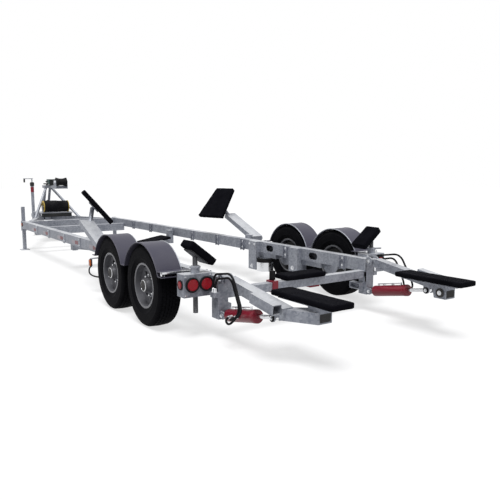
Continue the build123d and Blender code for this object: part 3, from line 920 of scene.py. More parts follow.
@dataclass
class CadDress:
    """Finishes of the CAD nodes that stay visible, with rounded edges."""

    yard: Yard
    rounding: float = 0.0025
    sharp: float = 28.0
    plain: tuple[str, ...] = ("wheel", "hose", "lamp_grommets", "spring_cans", "bow_roller")

    def softener(self) -> bpy.types.NodeTree:
        """Tree that joins the loose triangles and shades round faces smoothly.

        Returns:
            The tree.
        """
        tree = bpy.data.node_groups.new("joined_faces", "GeometryNodeTree")
        graph = Graph(tree)
        tree.interface.new_socket("Geometry", in_out="INPUT", socket_type="NodeSocketGeometry")
        tree.interface.new_socket("Geometry", in_out="OUTPUT", socket_type="NodeSocketGeometry")
        given = Term(graph, tree.nodes.new("NodeGroupInput").outputs[0])
        joined = graph.node("GeometryNodeMergeByDistance", {}, {"Geometry": given, "Distance": 1e-5})
        angle = graph.node("GeometryNodeInputMeshEdgeAngle", {}, {}, 0)
        values = {"Mesh": joined, "Remove Custom": True, "Edge Sharpness": angle > math.radians(self.sharp)}
        shaded = graph.node("GeometryNodeSetMeshNormal", {"mode": "SHARPNESS"}, values)
        end = tree.nodes.new("NodeGroupOutput")
        tree.links.new(shaded.socket, end.inputs[0])
        return tree

    def build(self) -> None:
        """Give every node its slot's material and its modifiers."""
        tree = self.softener()
        slots = {row["node"]: Slot(row["material_slot"]) for row in self.yard.frame["record"]["subparts"]}
        for name, node in self.yard.frame["nodes"].items():
            node.data.materials.clear()
            node.data.materials.append(self.yard.finishes[slots[name]])
            join = node.modifiers.new("join", "NODES")
            join.node_group = tree
            if any(word in name for word in self.plain):
                continue
            flat = node.modifiers.new("flat", "DECIMATE")
            flat.decimate_type = "DISSOLVE"
            flat.angle_limit = math.radians(0.6)
            edge = node.modifiers.new("edge", "BEVEL")
            edge.width = self.rounding
            edge.segments = 2
            edge.angle_limit = math.radians(self.sharp)
            edge.harden_normals = True
        for name, _ in SIDES:
            self.yard.frame["nodes"][f"{name}_rear_post"].data.materials[0] = self.yard.finishes.thread


@dataclass
class Hoses:
    """Hydraulic hoses from the ports on the rails over to the barrels, with crimped ends."""

    yard: Yard
    thick: float = 0.019
    loop_length: float = 0.775
    loop_thick: float = 0.018
    loop_route: tuple[Triple, ...] = (
        (1780, 1195, 330),
        (1866, 1200, 300),
        (1862, 1196, 205),
        (1620, 1120, 200),
        (1400, 960, 250),
        (1318, 900, 265),
    )
    lengths: dict[str, float] = field(default_factory=lambda: {"outer": 1.025, "inner": 0.919})
    routes: dict[str, list[Triple]] = field(
        default_factory=lambda: {
            "outer": [
                (-735, 982, 420),
                (-735, 985, 575),
                (-906, 997, 603),
                (-1078, 1010, 632),
                (-1165, 1016, 481),
                (-1252, 1022, 330),
                (-1150, 1086, 268),
                (-1094.2, 1020, 270.7),
                (-1094.2, 965, 270.7),
            ],
            "inner": [
                (-766, 982, 420),
                (-766, 983, 535),
                (-898, 985, 562),
                (-1030, 988, 590),
                (-1099, 989, 460),
                (-1168, 990, 330),
                (-1090, 1050, 200),
                (-1005.7, 1040, 254.4),
                (-1005.7, 965, 254.4),
            ],
        }
    )

    def cord(self, name: str, points: list[Vector], thick: float) -> bpy.types.Object:
        """Make one round cord along its route.

        Args:
            name: Name of the object.
            points: Control points in metres.
            thick: Diameter in metres.

        Returns:
            The curve object.
        """
        data = bpy.data.curves.new(name, "CURVE")
        data.dimensions = "3D"
        data.bevel_depth = thick / 2
        data.bevel_resolution = 5
        data.resolution_u = 16
        data.use_fill_caps = True
        line = data.splines.new("NURBS")
        line.points.add(len(points) - 1)
        for spot, point in zip(line.points, points):
            spot.co = (*point, 1.0)
        line.order_u = 3
        line.use_endpoint_u = True
        data.materials.append(self.yard.finishes[Slot.RUBBER])
        made = bpy.data.objects.new(name, data)
        bpy.context.scene.collection.objects.link(made)
        return made

    def loop(self) -> None:
        """Hang the loose air line between the front marker and the front hanger."""
        points = [self.yard.at(*spot) for spot in self.loop_route]
        line = self.cord("left_air_line", points, self.loop_thick)
        self.yard.settle(line, "frame", Slot.RUBBER)

    def build(self) -> None:
        """Make the four hoses and their ferrules."""
        ferrule = [(0.010, 0.0), (0.010, 0.0135), (0.018, 0.0142), (0.036, 0.0142), (0.040, 0.0100)]
        ferrule.append((0.040, 0.0))
        self.loop()
        for name, side in SIDES:
            for kind, route in self.routes.items():
                points = [self.yard.at(x, side * y, z) for x, y, z in route]
                hose = self.cord(f"{name}_{kind}_hydraulic_hose", points, self.thick)
                self.yard.settle(hose, "frame", Slot.RUBBER, (f"{name}_{kind}_hose",))
            for body, at_end in (("frame", False), (f"{name}_barrel", True)):
                crimps = Shape()
                for route in self.routes.values():
                    points = [self.yard.at(x, side * y, z) for x, y, z in route]
                    first, second = (points[-1], points[-2]) if at_end else points[:2]
                    line = (second - first).normalized()
                    crimps.rod(first - line * 0.002, first + line * 0.012, 0.0155, 6)
                    crimps.lathe(ferrule, first, line, 20)
                self.yard.place(crimps, f"{body}_{name}_crimps", body, Slot.BRIGHT)


@dataclass
class RoadWheel:
    """Tyre with its tread, and the lugs, cap and valve of one wheel."""

    yard: Yard
    body: str
    side: int
    pitches: int = 54
    tread_floor: float = 0.3795
    lugs: int = 8
    lug_circle: float = 0.099
    disc_out: float = 0.0225
    cap_out: float = 0.096
    hub: float = 0.062

    def build(self) -> None:
        """Make the pieces of this wheel."""
        tyre_node = self.body.replace("_wheel", "_tyre")
        low, high = (Vector(corner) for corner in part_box(tyre_node))
        self.centre = (low + high) / 2
        self.radius = (high.z - low.z) / 2
        self.half = (high.y - low.y) / 2
        self.tyre(tyre_node)
        self.tread()
        self.fasteners()

    def tyre(self, node: str) -> None:
        """Make the casing with its bead, moulded rings and shoulders.

        Args:
            node: CAD tyre that it stands for.
        """
        half = [
            (0.0, self.tread_floor),
            (0.080, self.tread_floor),
            (0.092, 0.3765),
            (0.101, 0.3700),
            (0.1085, 0.3580),
            (0.1120, 0.3475),
            (0.1138, 0.3460),
            (0.1144, 0.3420),
            (0.1136, 0.3400),
            (0.1155, 0.3250),
            (self.half - 0.0006, 0.3050),
            (0.1155, 0.2850),
            (0.1140, 0.2700),
            (0.1148, 0.2680),
            (0.1144, 0.2640),
            (0.1124, 0.2620),
            (0.1085, 0.2480),
            (0.1040, 0.2380),
            (0.1048, 0.2360),
            (0.1036, 0.2320),
            (0.1005, 0.2280),
            (0.0960, 0.2190),
            (0.0860, 0.2165),
            (0.0840, 0.2040),
        ]
        profile = [(-out, radius) for out, radius in reversed(half)] + half[1:]
        casing = Shape().lathe(profile, self.centre, Vector((0, 1, 0)), 88)
        piece = casing.piece(f"{node}_casing", self.yard.finishes[Slot.TYRE], 40.0)
        self.yard.settle(piece, self.body, Slot.TYRE, (node,))

    def tread(self) -> None:
        """Repeat one pitch of zigzag ribs and shoulder lugs round the casing."""
        pitch = TURN / self.pitches
        shape = Shape()
        ribs = (
            (-0.078, -0.050, 0.0040),
            (-0.045, -0.017, 0.0015),
            (-0.0125, 0.0125, 0.0),
            (0.017, 0.045, 0.0015),
            (0.050, 0.078, 0.0040),
        )
        for order, (start, end, drop) in enumerate(ribs):
            shift = 0.5 if order % 2 else 0.0
            top = self.radius - drop
            steps = (-0.46, 0.0, 0.46)
            waves = (0.0, 0.004, 0.0)
            corners = [(step, start + wave) for step, wave in zip(steps, waves)]
            corners += [(step, end + wave) for step, wave in zip(reversed(steps), waves)]
            rings = []
            for radius in (self.tread_floor - 0.002, top):
                ring = []
                for step, across in corners:
                    angle = (step + shift) * pitch
                    spot = (radius * math.sin(angle), across, radius * math.cos(angle))
                    ring.append(shape.mesh.verts.new(spot))
                rings.append(ring)
            shape.mesh.faces.new(rings[0])
            shape.mesh.faces.new(rings[1])
            for here in range(6):
                after = (here + 1) % 6
                shape.mesh.faces.new((rings[0][here], rings[0][after], rings[1][after], rings[1][here]))
        lug = [(0.076, 0.3760), (0.088, 0.3835), (0.100, 0.3755), (0.1075, 0.3620), (0.104, 0.3600)]
        for way in (1, -1):
            for step in (-0.25, 0.25):
                angle = step * pitch
                ray = Vector((math.sin(angle), 0.0, math.cos(angle)))
                along = Vector((math.cos(angle), 0.0, -math.sin(angle))) * 0.0075
                corners = [ray * radius + Vector((0.0, way * out, 0.0)) - along for out, radius in lug]
                shape.prism(corners, along * 2)
        piece = shape.piece(f"{self.body}_tread", None)
        material = self.yard.finishes[Slot.TYRE]
        self.yard.ring.run(piece, Count=self.pitches, Centre=self.centre, Material=material)
        self.yard.settle(piece, self.body, Slot.TYRE)

    def fasteners(self) -> None:
        """Make the lug nuts, the grease cap and the valve."""
        out = Vector((0.0, self.side, 0.0))
        foot = out * self.disc_out + Vector((0.0, 0.0, self.lug_circle))
        nut = Shape().rod(foot, foot + out * 0.020, 0.0125, 6)
        nut.lathe([(0.020, 0.0115), (0.026, 0.0095), (0.029, 0.0050), (0.030, 0.0)], foot, out, 12)
        nut.lathe([(0.0, 0.0165), (0.004, 0.0150), (0.004, 0.0)], foot, out, 16)
        piece = nut.piece(f"{self.body}_lugs", None)
        bright = self.yard.finishes[Slot.BRIGHT]
        self.yard.ring.run(piece, Count=self.lugs, Centre=self.centre, Material=bright)
        self.yard.settle(piece, self.body, Slot.BRIGHT)
        skirt = [(-0.070, self.hub + 0.016), (-0.066, self.hub + 0.008), (-0.004, self.hub + 0.0015)]
        rim = [(0.001, self.hub - 0.004), (0.001, 0.050), (0.004, 0.0505), (0.007, 0.0480)]
        dome = [(0.010, 0.0420), (0.0125, 0.0300), (0.0135, 0.0150), (0.0138, 0.0)]
        cap = Shape().lathe(skirt + rim + dome, self.centre + out * self.cap_out, out, 40)
        self.yard.place(cap, f"{self.body}_cap", self.body, Slot.BLACK, self.yard.finishes.dark_paint_and_shade)
        ring = [(0.001, 0.052), (0.004, 0.0555), (0.007, 0.0530), (0.0075, 0.0505)]
        band = Shape().lathe(ring, self.centre + out * self.cap_out, out, 40)
        self.yard.place(band, f"{self.body}_cap_band", self.body, Slot.BRIGHT, bright)
        wall = [(-0.060, 0.168), (-0.052, 0.172), (-0.004, 0.172), (0.001, 0.166)]
        drum = Shape().lathe([(-0.060, 0.086), *wall, (0.001, 0.086)], self.centre, out, 40)
        self.yard.place(drum, f"{self.body}_drum", self.body, Slot.BLACK, self.yard.finishes.dark_paint_and_shade)
        ray = Vector((math.sin(0.4), 0.0, math.cos(0.4)))
        root = self.centre + ray * 0.190 + out * 0.026
        valve = Shape().rod(root, root + out * 0.030 - ray * 0.012, 0.0045, 12)
        self.yard.place(valve, f"{self.body}_valve", self.body, Slot.RUBBER)


@dataclass
class CarpetPad:
    """Carpet over a padded board: the CAD solid with soft, slightly uneven edges and faces."""

    yard: Yard
    node: str
    voxel: float = 0.008
    rounds: int = 7
    sag: float = 0.0016

    def build(self) -> None:
        """Make the carpeted piece from the CAD node."""
        source = self.yard.frame["nodes"][self.node]
        shape = Shape()
        shape.mesh.from_mesh(source.data)
        shape.mesh.transform(source.matrix_world)
        rough = shape.piece(f"{self.node}_carpet", None)
        cut = rough.modifiers.new("even", "REMESH")
        cut.mode = "VOXEL"
        cut.voxel_size = self.voxel
        bpy.context.view_layer.update()
        graph = bpy.context.evaluated_depsgraph_get()
        even = bpy.data.meshes.new_from_object(rough.evaluated_get(graph), depsgraph=graph)
        bpy.data.objects.remove(rough)
        soft = Shape()
        soft.mesh.from_mesh(even)
        bpy.data.meshes.remove(even)
        for _ in range(self.rounds):
            bmesh.ops.smooth_vert(
                soft.mesh,
                verts=soft.mesh.verts,
                factor=0.5,
                use_axis_x=True,
                use_axis_y=True,
                use_axis_z=True,
            )
        soft.mesh.normal_update()
        moves = []
        for spot in soft.mesh.verts:
            wave = noise.noise(spot.co * 9.0) + 0.5 * noise.noise(spot.co * 31.0)
            moves.append(spot.normal * (self.sag * wave + 0.0008))
        for spot, move in zip(soft.mesh.verts, moves):
            spot.co += move
        piece = soft.piece(f"{self.node}_carpet", self.yard.finishes[Slot.CARPET], 75.0)
        bodies = self.yard.frame["record"]["behaviour"]["bodies"]
        body = next(name for name, nodes in bodies.items() if self.node in nodes)
        self.yard.settle(piece, body, Slot.CARPET, (self.node,))


@dataclass
class Lamps:
    """Round tail lamps, side lamps and amber markers with moulded lenses."""

    yard: Yard
    radius: float = 0.0525
    round_y: tuple[float, float] = (1020, 1156)
    round_z: float = 490
    back_x: float = -686

    def build(self) -> None:
        """Make the lenses and the rubber rims."""
        back = Vector((-1, 0, 0))
        shape = Shape()
        steps = [(0.0, self.radius), (0.005, self.radius), (0.0085, self.radius - 0.004)]
        for ring in range(6):
            radius = 0.044 - 0.0072 * ring
            steps += [(0.0088, radius + 0.0022), (0.0100, radius), (0.0088, radius - 0.0022)]
        steps.append((0.0098, 0.0))
        grommet = [(-0.002, 0.0640), (0.004, 0.0665), (0.010, 0.0640), (0.012, 0.0580), (0.009, 0.0530)]
        grommet.append((0.0, self.radius))
        side_lens = [(0.004, 0.034), (0.010, 0.033), (0.0135, 0.026), (0.0140, 0.012), (0.0140, 0.0)]
        side_rim = [(0.0, 0.044), (0.006, 0.044), (0.010, 0.040), (0.010, 0.0345), (0.002, 0.0345)]
        marker_lens = [(0.004, 0.028), (0.010, 0.027), (0.015, 0.021), (0.018, 0.010), (0.0185, 0.0)]
        marker_rim = [(0.0, 0.037), (0.006, 0.037), (0.009, 0.033), (0.008, 0.028), (0.002, 0.028)]
        rims = Shape()
        for _, side in SIDES:
            for y in self.round_y:
                centre = self.yard.at(self.back_x, side * y, self.round_z)
                shape.lathe(steps, centre, back, 48)
                rims.lathe(grommet, centre, back, 48)
            out = Vector((0, side, 0))
            centre = self.yard.at(-610, side * 1232, 486)
            shape.lathe(side_lens, centre, out, 40)
            rims.lathe(side_rim, centre, out, 40)
        piece = shape.piece("tail_lamp_lenses", self.yard.finishes[Slot.RED_LENS], 25.0)
        self.yard.settle(piece, "frame", Slot.RED_LENS, ("red_lamps",))
        self.yard.place(rims, "tail_lamp_rims", "frame", Slot.RUBBER)
        amber = Shape()
        base = Shape()
        for _, side in SIDES:
            amber.box(self.yard.at(1752, side * 1203, 334), self.yard.at(1808, side * 1222, 408), 0.006, 3)
            base.box(self.yard.at(1744, side * 1199, 326), self.yard.at(1816, side * 1208, 416), 0.003, 2)
            centre = self.yard.at(6395, side * 956, 496)
            out = Vector((0, side, 0))
            amber.lathe(marker_lens, centre, out, 32)
            base.lathe(marker_rim, centre, out, 32)
        piece = amber.piece("amber_lenses", self.yard.finishes[Slot.AMBER_LENS], 30.0)
        self.yard.settle(piece, "frame", Slot.AMBER_LENS, ("amber_markers",))
        self.yard.place(base, "amber_bases", "frame", Slot.RUBBER)


@dataclass
class Fasteners:
    """Hexagon bolts, nuts on the pins, and clevis heads, one mesh for each body."""

    yard: Yard
    head: float = 0.0095
    height: float = 0.0065
    spots: dict[str, list[tuple[Vector, Vector, float]]] = field(default_factory=dict)

    def put(self, body: str, x: float, y: float, z: float, facing: Triple, size: float = 1.0) -> None:
        """Note one bolt.

        Args:
            body: Body it rides on.
            x: Place along the trailer in millimetres from the rear axle.
            y: Place across.
            z: Height.
            facing: Way the head points.
            size: Size against the plain bolt.
        """
        self.spots.setdefault(body, []).append((self.yard.at(x, y, z), Vector(facing), size))

    def build(self) -> None:
        """Note every bolt and make the meshes."""
        for name, side in SIDES:
            out = (0, side, 0)
            inward = (0, -side, 0)
            for x in OUTER_CLEATS:
                for z in (446, 526):
                    self.put("frame", x, side * 964, z, out)
            for x in INNER_CLEATS:
                for z in (446, 526):
                    self.put("frame", x, side * 848, z, inward)
            for x in (426.5, -421, 1274):
                for y in (985, 1045):
                    self.put("frame", x, side * y, 539, (0, 0, 1))
                self.put("frame", x, side * 1290, 539, (0, 0, 1), 0.8)
            for y in (972, 1216):
                for z in (398, 562):
                    self.put("frame", -672, side * y, z, (-1, 0, 0), 0.8)
            self.put("frame", 1571, side * 1189, 543, out, 2.2)
            for way in (1, -1):
                self.put("frame", -809, side * 900 + way * 62, 538, (0, way, 0), 1.7)
                self.put("frame", -809, side * 900 + way * 46, 218, (0, way, 0), 1.3)
                self.put(f"{name}_tail_arm", -1523, side * 900 + way * 48, 350, (0, way, 0), 1.3)
            self.put(f"{name}_tail_arm", -1822, side * 654, 402, inward, 1.6)
            for x in (1180, 1290):
                self.put("frame", x, side * 800, 520, inward, 1.2)
            self.put("frame", 1234, side * 800, 225, inward, 2.0)
            self.put("frame", 376, side * 800, 310, inward, 2.0)
            for x in (9310, 9400):
                self.put("frame", x, side * 50, 462, out, 1.3)
            self.put("frame", 7066, side * 122, 1293, out, 1.8)
            for x in (7700, 7900):
                self.put("frame", x, side * 80, 1233, (0, 0, 1), 0.9)
            for x in (7600, 7660):
                self.put("frame", x, side * 331, 637, (0, 0, 1))
        for x in (-752, -672):
            self.put("frame", x, 328, 449, (0, 0, 1), 0.9)
        for body, spots in self.spots.items():
            data = bpy.data.meshes.new(f"{body}_bolts")
            data.from_pydata([spot for spot, _, _ in spots], [], [])
            facing = data.attributes.new("facing", "FLOAT_VECTOR", "POINT")
            facing.data.foreach_set("vector", [part for _, way, _ in spots for part in way])
            size = data.attributes.new("size", "FLOAT", "POINT")
            size.data.foreach_set("value", [value for _, _, value in spots])
            piece = bpy.data.objects.new(f"{body}_bolts", data)
            bpy.context.scene.collection.objects.link(piece)
            finish = self.yard.finishes[Slot.BRIGHT]
            self.yard.bolts.run(piece, Head_Radius=self.head, Head_Height=self.height, Material=finish)
            self.yard.settle(piece, body, Slot.BRIGHT)


@dataclass
class Stripes:
    """Red and white reflective tape along the outer faces of the rails."""

    yard: Yard
    tile: float = 150.0
    pairs: int = 1
    low: float = 446.0
    high: float = 497.0
    under: float = 955.8
    over: float = 956.5

    def build(self) -> None:
        """Lay the tape between the cleats."""
        for name, side in SIDES:
            for title, shift, finish in (
                ("red", 0.0, self.yard.finishes.tape_red),
                ("white", self.tile, self.yard.finishes.tape_white),
            ):
                whole = Shape()
                for start in OUTER_CLEATS:
                    for order in range(self.pairs):
                        first = start + 60 + shift + order * 2 * self.tile
                        last = first + self.tile
                        low = self.yard.at(first, side * self.under, self.low)
                        whole.box(low, self.yard.at(last, side * self.over, self.high))
                self.yard.place(whole, f"{name}_{title}_tape", "frame", Slot.ZINC, finish)


@dataclass
class PowerUnit:
    """Hose on the reel, its yellow rims, and the lid and cap of the power unit."""

    yard: Yard
    turns: int = 29
    hose: float = 0.0083

    def build(self) -> None:
        """Make the windings, the rims and the lid."""
        start = self.yard.at(7562, -236, 767)
        across = Vector((0, 1, 0))
        profile = []
        for step in range(11):
            angle = math.pi * step / 10
            profile.append((self.hose * math.cos(angle), 0.1115 + self.hose * math.sin(angle)))
        turn = Shape().lathe(profile, start, across, 48).piece("reel_windings", None)
        step = Vector((0.0, 0.472 / (self.turns - 1), 0.0))
        rubber = self.yard.finishes[Slot.RUBBER]
        self.yard.row.run(turn, Count=self.turns, Step=step, Material=rubber)
        self.yard.settle(turn, "frame", Slot.RUBBER)
        rims = Shape()
        for _, side in SIDES:
            centre = self.yard.at(7562, side * 258, 767)
            outer_rim = [(-0.0075, 0.121), (-0.004, 0.1245), (0.004, 0.1245), (0.0075, 0.121)]
            rims.lathe([(-0.0075, 0.092), *outer_rim, (0.0075, 0.092)], centre, across, 48)
            for spoke in range(4):
                ray = Vector((math.cos(TURN * spoke / 4), 0.0, math.sin(TURN * spoke / 4)))
                outer = centre + across * side * 0.006
                rims.rod(outer + ray * 0.02, outer + ray * 0.1, 0.006, 8)
        self.yard.place(rims, "reel_rims", "frame", Slot.BLACK, self.yard.finishes.yellow)
        lid = Shape().box(self.yard.at(7880, -155, 855), self.yard.at(8090, 155, 873), 0.004)
        lid.rod(self.yard.at(7950, 60, 870), self.yard.at(7950, 60, 890), 0.022, 20)
        self.yard.place(lid, "power_lid", "frame", Slot.BLACK)


@dataclass
class Cylinders:
    """Outer tubes and steel lines of the tail cylinders, rod-eye bushes and bracket ends."""

    yard: Yard
    base: Triple = (-809, 900, 218)
    eye: Triple = (-1523, 900, 350)

    def build(self) -> None:
        """Make the fittings of both cylinders."""
        for name, side in SIDES:
            foot = self.yard.at(self.base[0], side * self.base[1], self.base[2])
            line = (self.yard.at(self.eye[0], side * self.eye[1], self.eye[2]) - foot).normalized()
            up = Vector((-line.z, 0.0, line.x)) if line.x > 0 else Vector((line.z, 0.0, -line.x))
            cap = [(0.050, 0.040), (0.050, 0.050), (0.056, 0.0545), (0.064, 0.0555)]
            wall = [(0.440, 0.0555), (0.442, 0.0575), (0.478, 0.0575), (0.484, 0.0545)]
            gland = [(0.486, 0.0300), (0.494, 0.0280), (0.494, 0.0190)]
            tube = Shape().lathe(cap + wall + gland, foot, line, 48)
            self.yard.place(tube, f"{name}_barrel_tube", f"{name}_barrel", Slot.RED)
            pipe = Shape()
            lift = 0.071
            pipe.rod(foot + line * 0.110 + up * lift, foot + line * 0.405 + up * lift, 0.0055, 12)
            for along in (0.110, 0.405):
                spot = foot + line * along
                pipe.rod(spot + up * 0.052, spot + up * (lift + 0.008), 0.011, 6)
            for along in (0.190, 0.300):
                spot = foot + line * along + up * 0.062
                pipe.rod(spot - line * 0.008, spot + line * 0.008, 0.015, 12)
            self.yard.place(pipe, f"{name}_steel_line", f"{name}_barrel", Slot.BRIGHT)
            # Painted shade: a thin dark plate on the bracket's rear end and a dark disc at its pin, in the
            # dark finish, darkening faces that lie in shade.
            ends = Shape()
            ends.box(self.yard.at(-1881.5, side * 674, 362), self.yard.at(-1878, side * 780, 426))
            ends.rod(self.yard.at(-1822, side * 663, 402), self.yard.at(-1822, side * 654, 402), 0.040, 32)
            dark_paint_and_shade = self.yard.finishes.dark_paint_and_shade
            self.yard.place(ends, f"{name}_bracket_end_shade", f"{name}_tail_arm", Slot.BLACK, dark_paint_and_shade)
            bushes = Shape()
            for way in (1, -1):
                centre = self.yard.at(self.eye[0], side * self.eye[1] + way * 40, self.eye[2])
                ring = [(0.0, 0.0165), (0.0, 0.0300), (0.005, 0.0300), (0.007, 0.0270), (0.007, 0.0165)]
                bushes.lathe(ring, centre, Vector((0, way, 0)), 28)
            self.yard.place(bushes, f"{name}_eye_bushes", f"{name}_tail_arm", Slot.RUBBER)


@dataclass
class Undercarriage:
    """Bellows over the spring cans and jam nuts of the screw posts."""

    yard: Yard
    fold: tuple[tuple[float, float], ...] = ((0.0, 0.104), (0.005, 0.109), (0.010, 0.104), (0.013, 0.094))

    def build(self) -> None:
        """Make the bellows, the jam nuts and a bar at each nut."""
        up = Vector((0, 0, 1))
        bellows = Shape()
        nuts = Shape()
        for _, side in SIDES:
            centre = self.yard.at(1000, side * 842, 305)
            profile = [(0.0, 0.100)]
            for fold in range(3):
                height = 0.006 + fold * 0.016
                profile += [(height + rise, radius) for rise, radius in self.fold]
            profile.append((0.052, 0.082))
            bellows.lathe(profile, centre, up, 48)
            foot = self.yard.at(-612, side * 1089, 620)
            nuts.rod(foot, foot + up * 0.024, 0.043, 6)
            nuts.rod(foot + up * 0.006, foot + up * 0.018, 0.0475, 24)
            hole = self.yard.at(-612, side * 1089, 632)
            nuts.rod(hole, hole + Vector((-0.10, side * 0.045, 0.012)), 0.008, 12)
        self.yard.place(bellows, "spring_bellows", "frame", Slot.RUBBER)
        self.yard.place(nuts, "jam_nuts", "frame", Slot.ZINC)


@dataclass
class Welds:
    """Rippled beads where steel members meet."""

    yard: Yard
    thick: float = 0.0045
    ripple: float = 0.007
    frame_seams: Seams = (
        ((6350, 856, 420), (6350, 856, 553)),
        ((5810, 856, 420), (5810, 856, 476)),
        ((5910, 856, 420), (5910, 856, 476)),
        ((5812, 856, 477), (5908, 856, 477)),
        ((6451, 768, 544), (6451, 854, 544)),
        ((6451, 765, 428), (6451, 765, 543)),
        ((6451, 870, 420), (6451, 870, 553)),
        ((6451, 952, 420), (6451, 952, 553)),
        ((8525, 60, 428), (8525, 60, 543)),
        ((8298, 60, 544), (8523, 60, 544)),
        ((-545, 956, 420), (-545, 956, 553)),
        ((-672, 956, 422), (-672, 956, 553)),
        ((1511, 956, 452), (1511, 956, 553)),
        ((1631, 956, 452), (1631, 956, 553)),
        ((1513, 956, 554), (1629, 956, 554)),
        ((1149, 856, 420), (1149, 856, 553)),
        ((1319, 856, 420), (1319, 856, 553)),
        ((295, 856, 420), (295, 856, 553)),
        ((458, 856, 420), (458, 856, 553)),
        ((-664, 856, 552), (-555, 856, 420)),
        ((-665, 858, 418), (-665, 954, 418)),
        ((-740, 856, 232), (-740, 856, 298)),
        ((-738, 856, 300), (-667, 856, 300)),
        ((-777, 938, 190), (-777, 938, 248)),
        ((-777, 862, 190), (-777, 862, 248)),
        ((7981, 35, 1155), (7981, 35, 1211)),
    )
    arm_seams: Seams = (
        ((-1349, 943, 498.5), (-1641, 943, 454)),
        ((-1341, 950, 443), (-1349, 950, 498)),
        ((-1605, 857, 375), (-1605, 938, 375)),
        ((-1555, 940, 382), (-1491, 940, 392)),
        ((-1555, 860, 382), (-1491, 860, 392)),
    )
    feet: Seams = (
        ((8428, 54, 524), (8111, 50, 1173)),
        ((7429, 467, 524), (8051, 50, 1173)),
    )
    foot_r: float = 0.030
    foot_z: float = 544.0

    def bead(self, shape: Shape, start: Vector, end: Vector) -> None:
        """Run one rippled bead along a straight seam.

        Args:
            shape: Shape to add it to.
            start: One end of the seam.
            end: Other end of the seam.
        """
        run = end - start
        rings = 2 * max(2, round(run.length / self.ripple)) + 1
        profile = [(0.0, 0.0)]
        for ring in range(rings):
            thick = self.thick if ring % 2 else 0.8 * self.thick
            profile.append((run.length * ring / (rings - 1), thick))
        profile.append((run.length, 0.0))
        shape.lathe(profile, start, run.normalized(), 8)

    def collar(self, shape: Shape, low: Vector, high: Vector) -> None:
        """Run a bead round the foot of a leaning round leg.

        Args:
            shape: Shape to add it to.
            low: Lower end of the leg's middle line.
            high: Upper end of the leg's middle line.
        """
        way = (high - low).normalized()
        centre = low + way * ((self.foot_z / 1000 - low.z) / way.z)
        lean = Vector((way.x, way.y, 0.0)).normalized()
        across = Vector((-lean.y, lean.x, 0.0))
        path = []
        for step in range(41):
            angle = TURN * step / 40
            ahead = lean * (self.foot_r / way.z * math.cos(angle))
            path.append(centre + ahead + across * (self.foot_r * math.sin(angle)))
        shape.tube(path, self.thick, 8)

    def build(self) -> None:
        """Make the beads of the frame and of each tail arm."""
        frame = Shape()
        for name, side in SIDES:
            arm = Shape()
            for shape, seams in ((frame, self.frame_seams), (arm, self.arm_seams)):
                for start, end in seams:
                    ends = [self.yard.at(x, side * y, z) for x, y, z in (start, end)]
                    self.bead(shape, *ends)
            for low, high in self.feet:
                ends = [self.yard.at(x, side * y, z) for x, y, z in (low, high)]
                self.collar(frame, *ends)
            piece = arm.piece(f"{name}_tail_arm_welds", self.yard.finishes.weld_and_shade_zinc, 80.0)
            self.yard.settle(piece, f"{name}_tail_arm", Slot.ZINC)
        for x in (8980, 9120):
            self.bead(frame, self.yard.at(x, 60, 440), self.yard.at(x, 60, 530))
        self.yard.settle(frame.piece("frame_welds", self.yard.finishes.weld_and_shade_zinc, 80.0), "frame", Slot.ZINC)


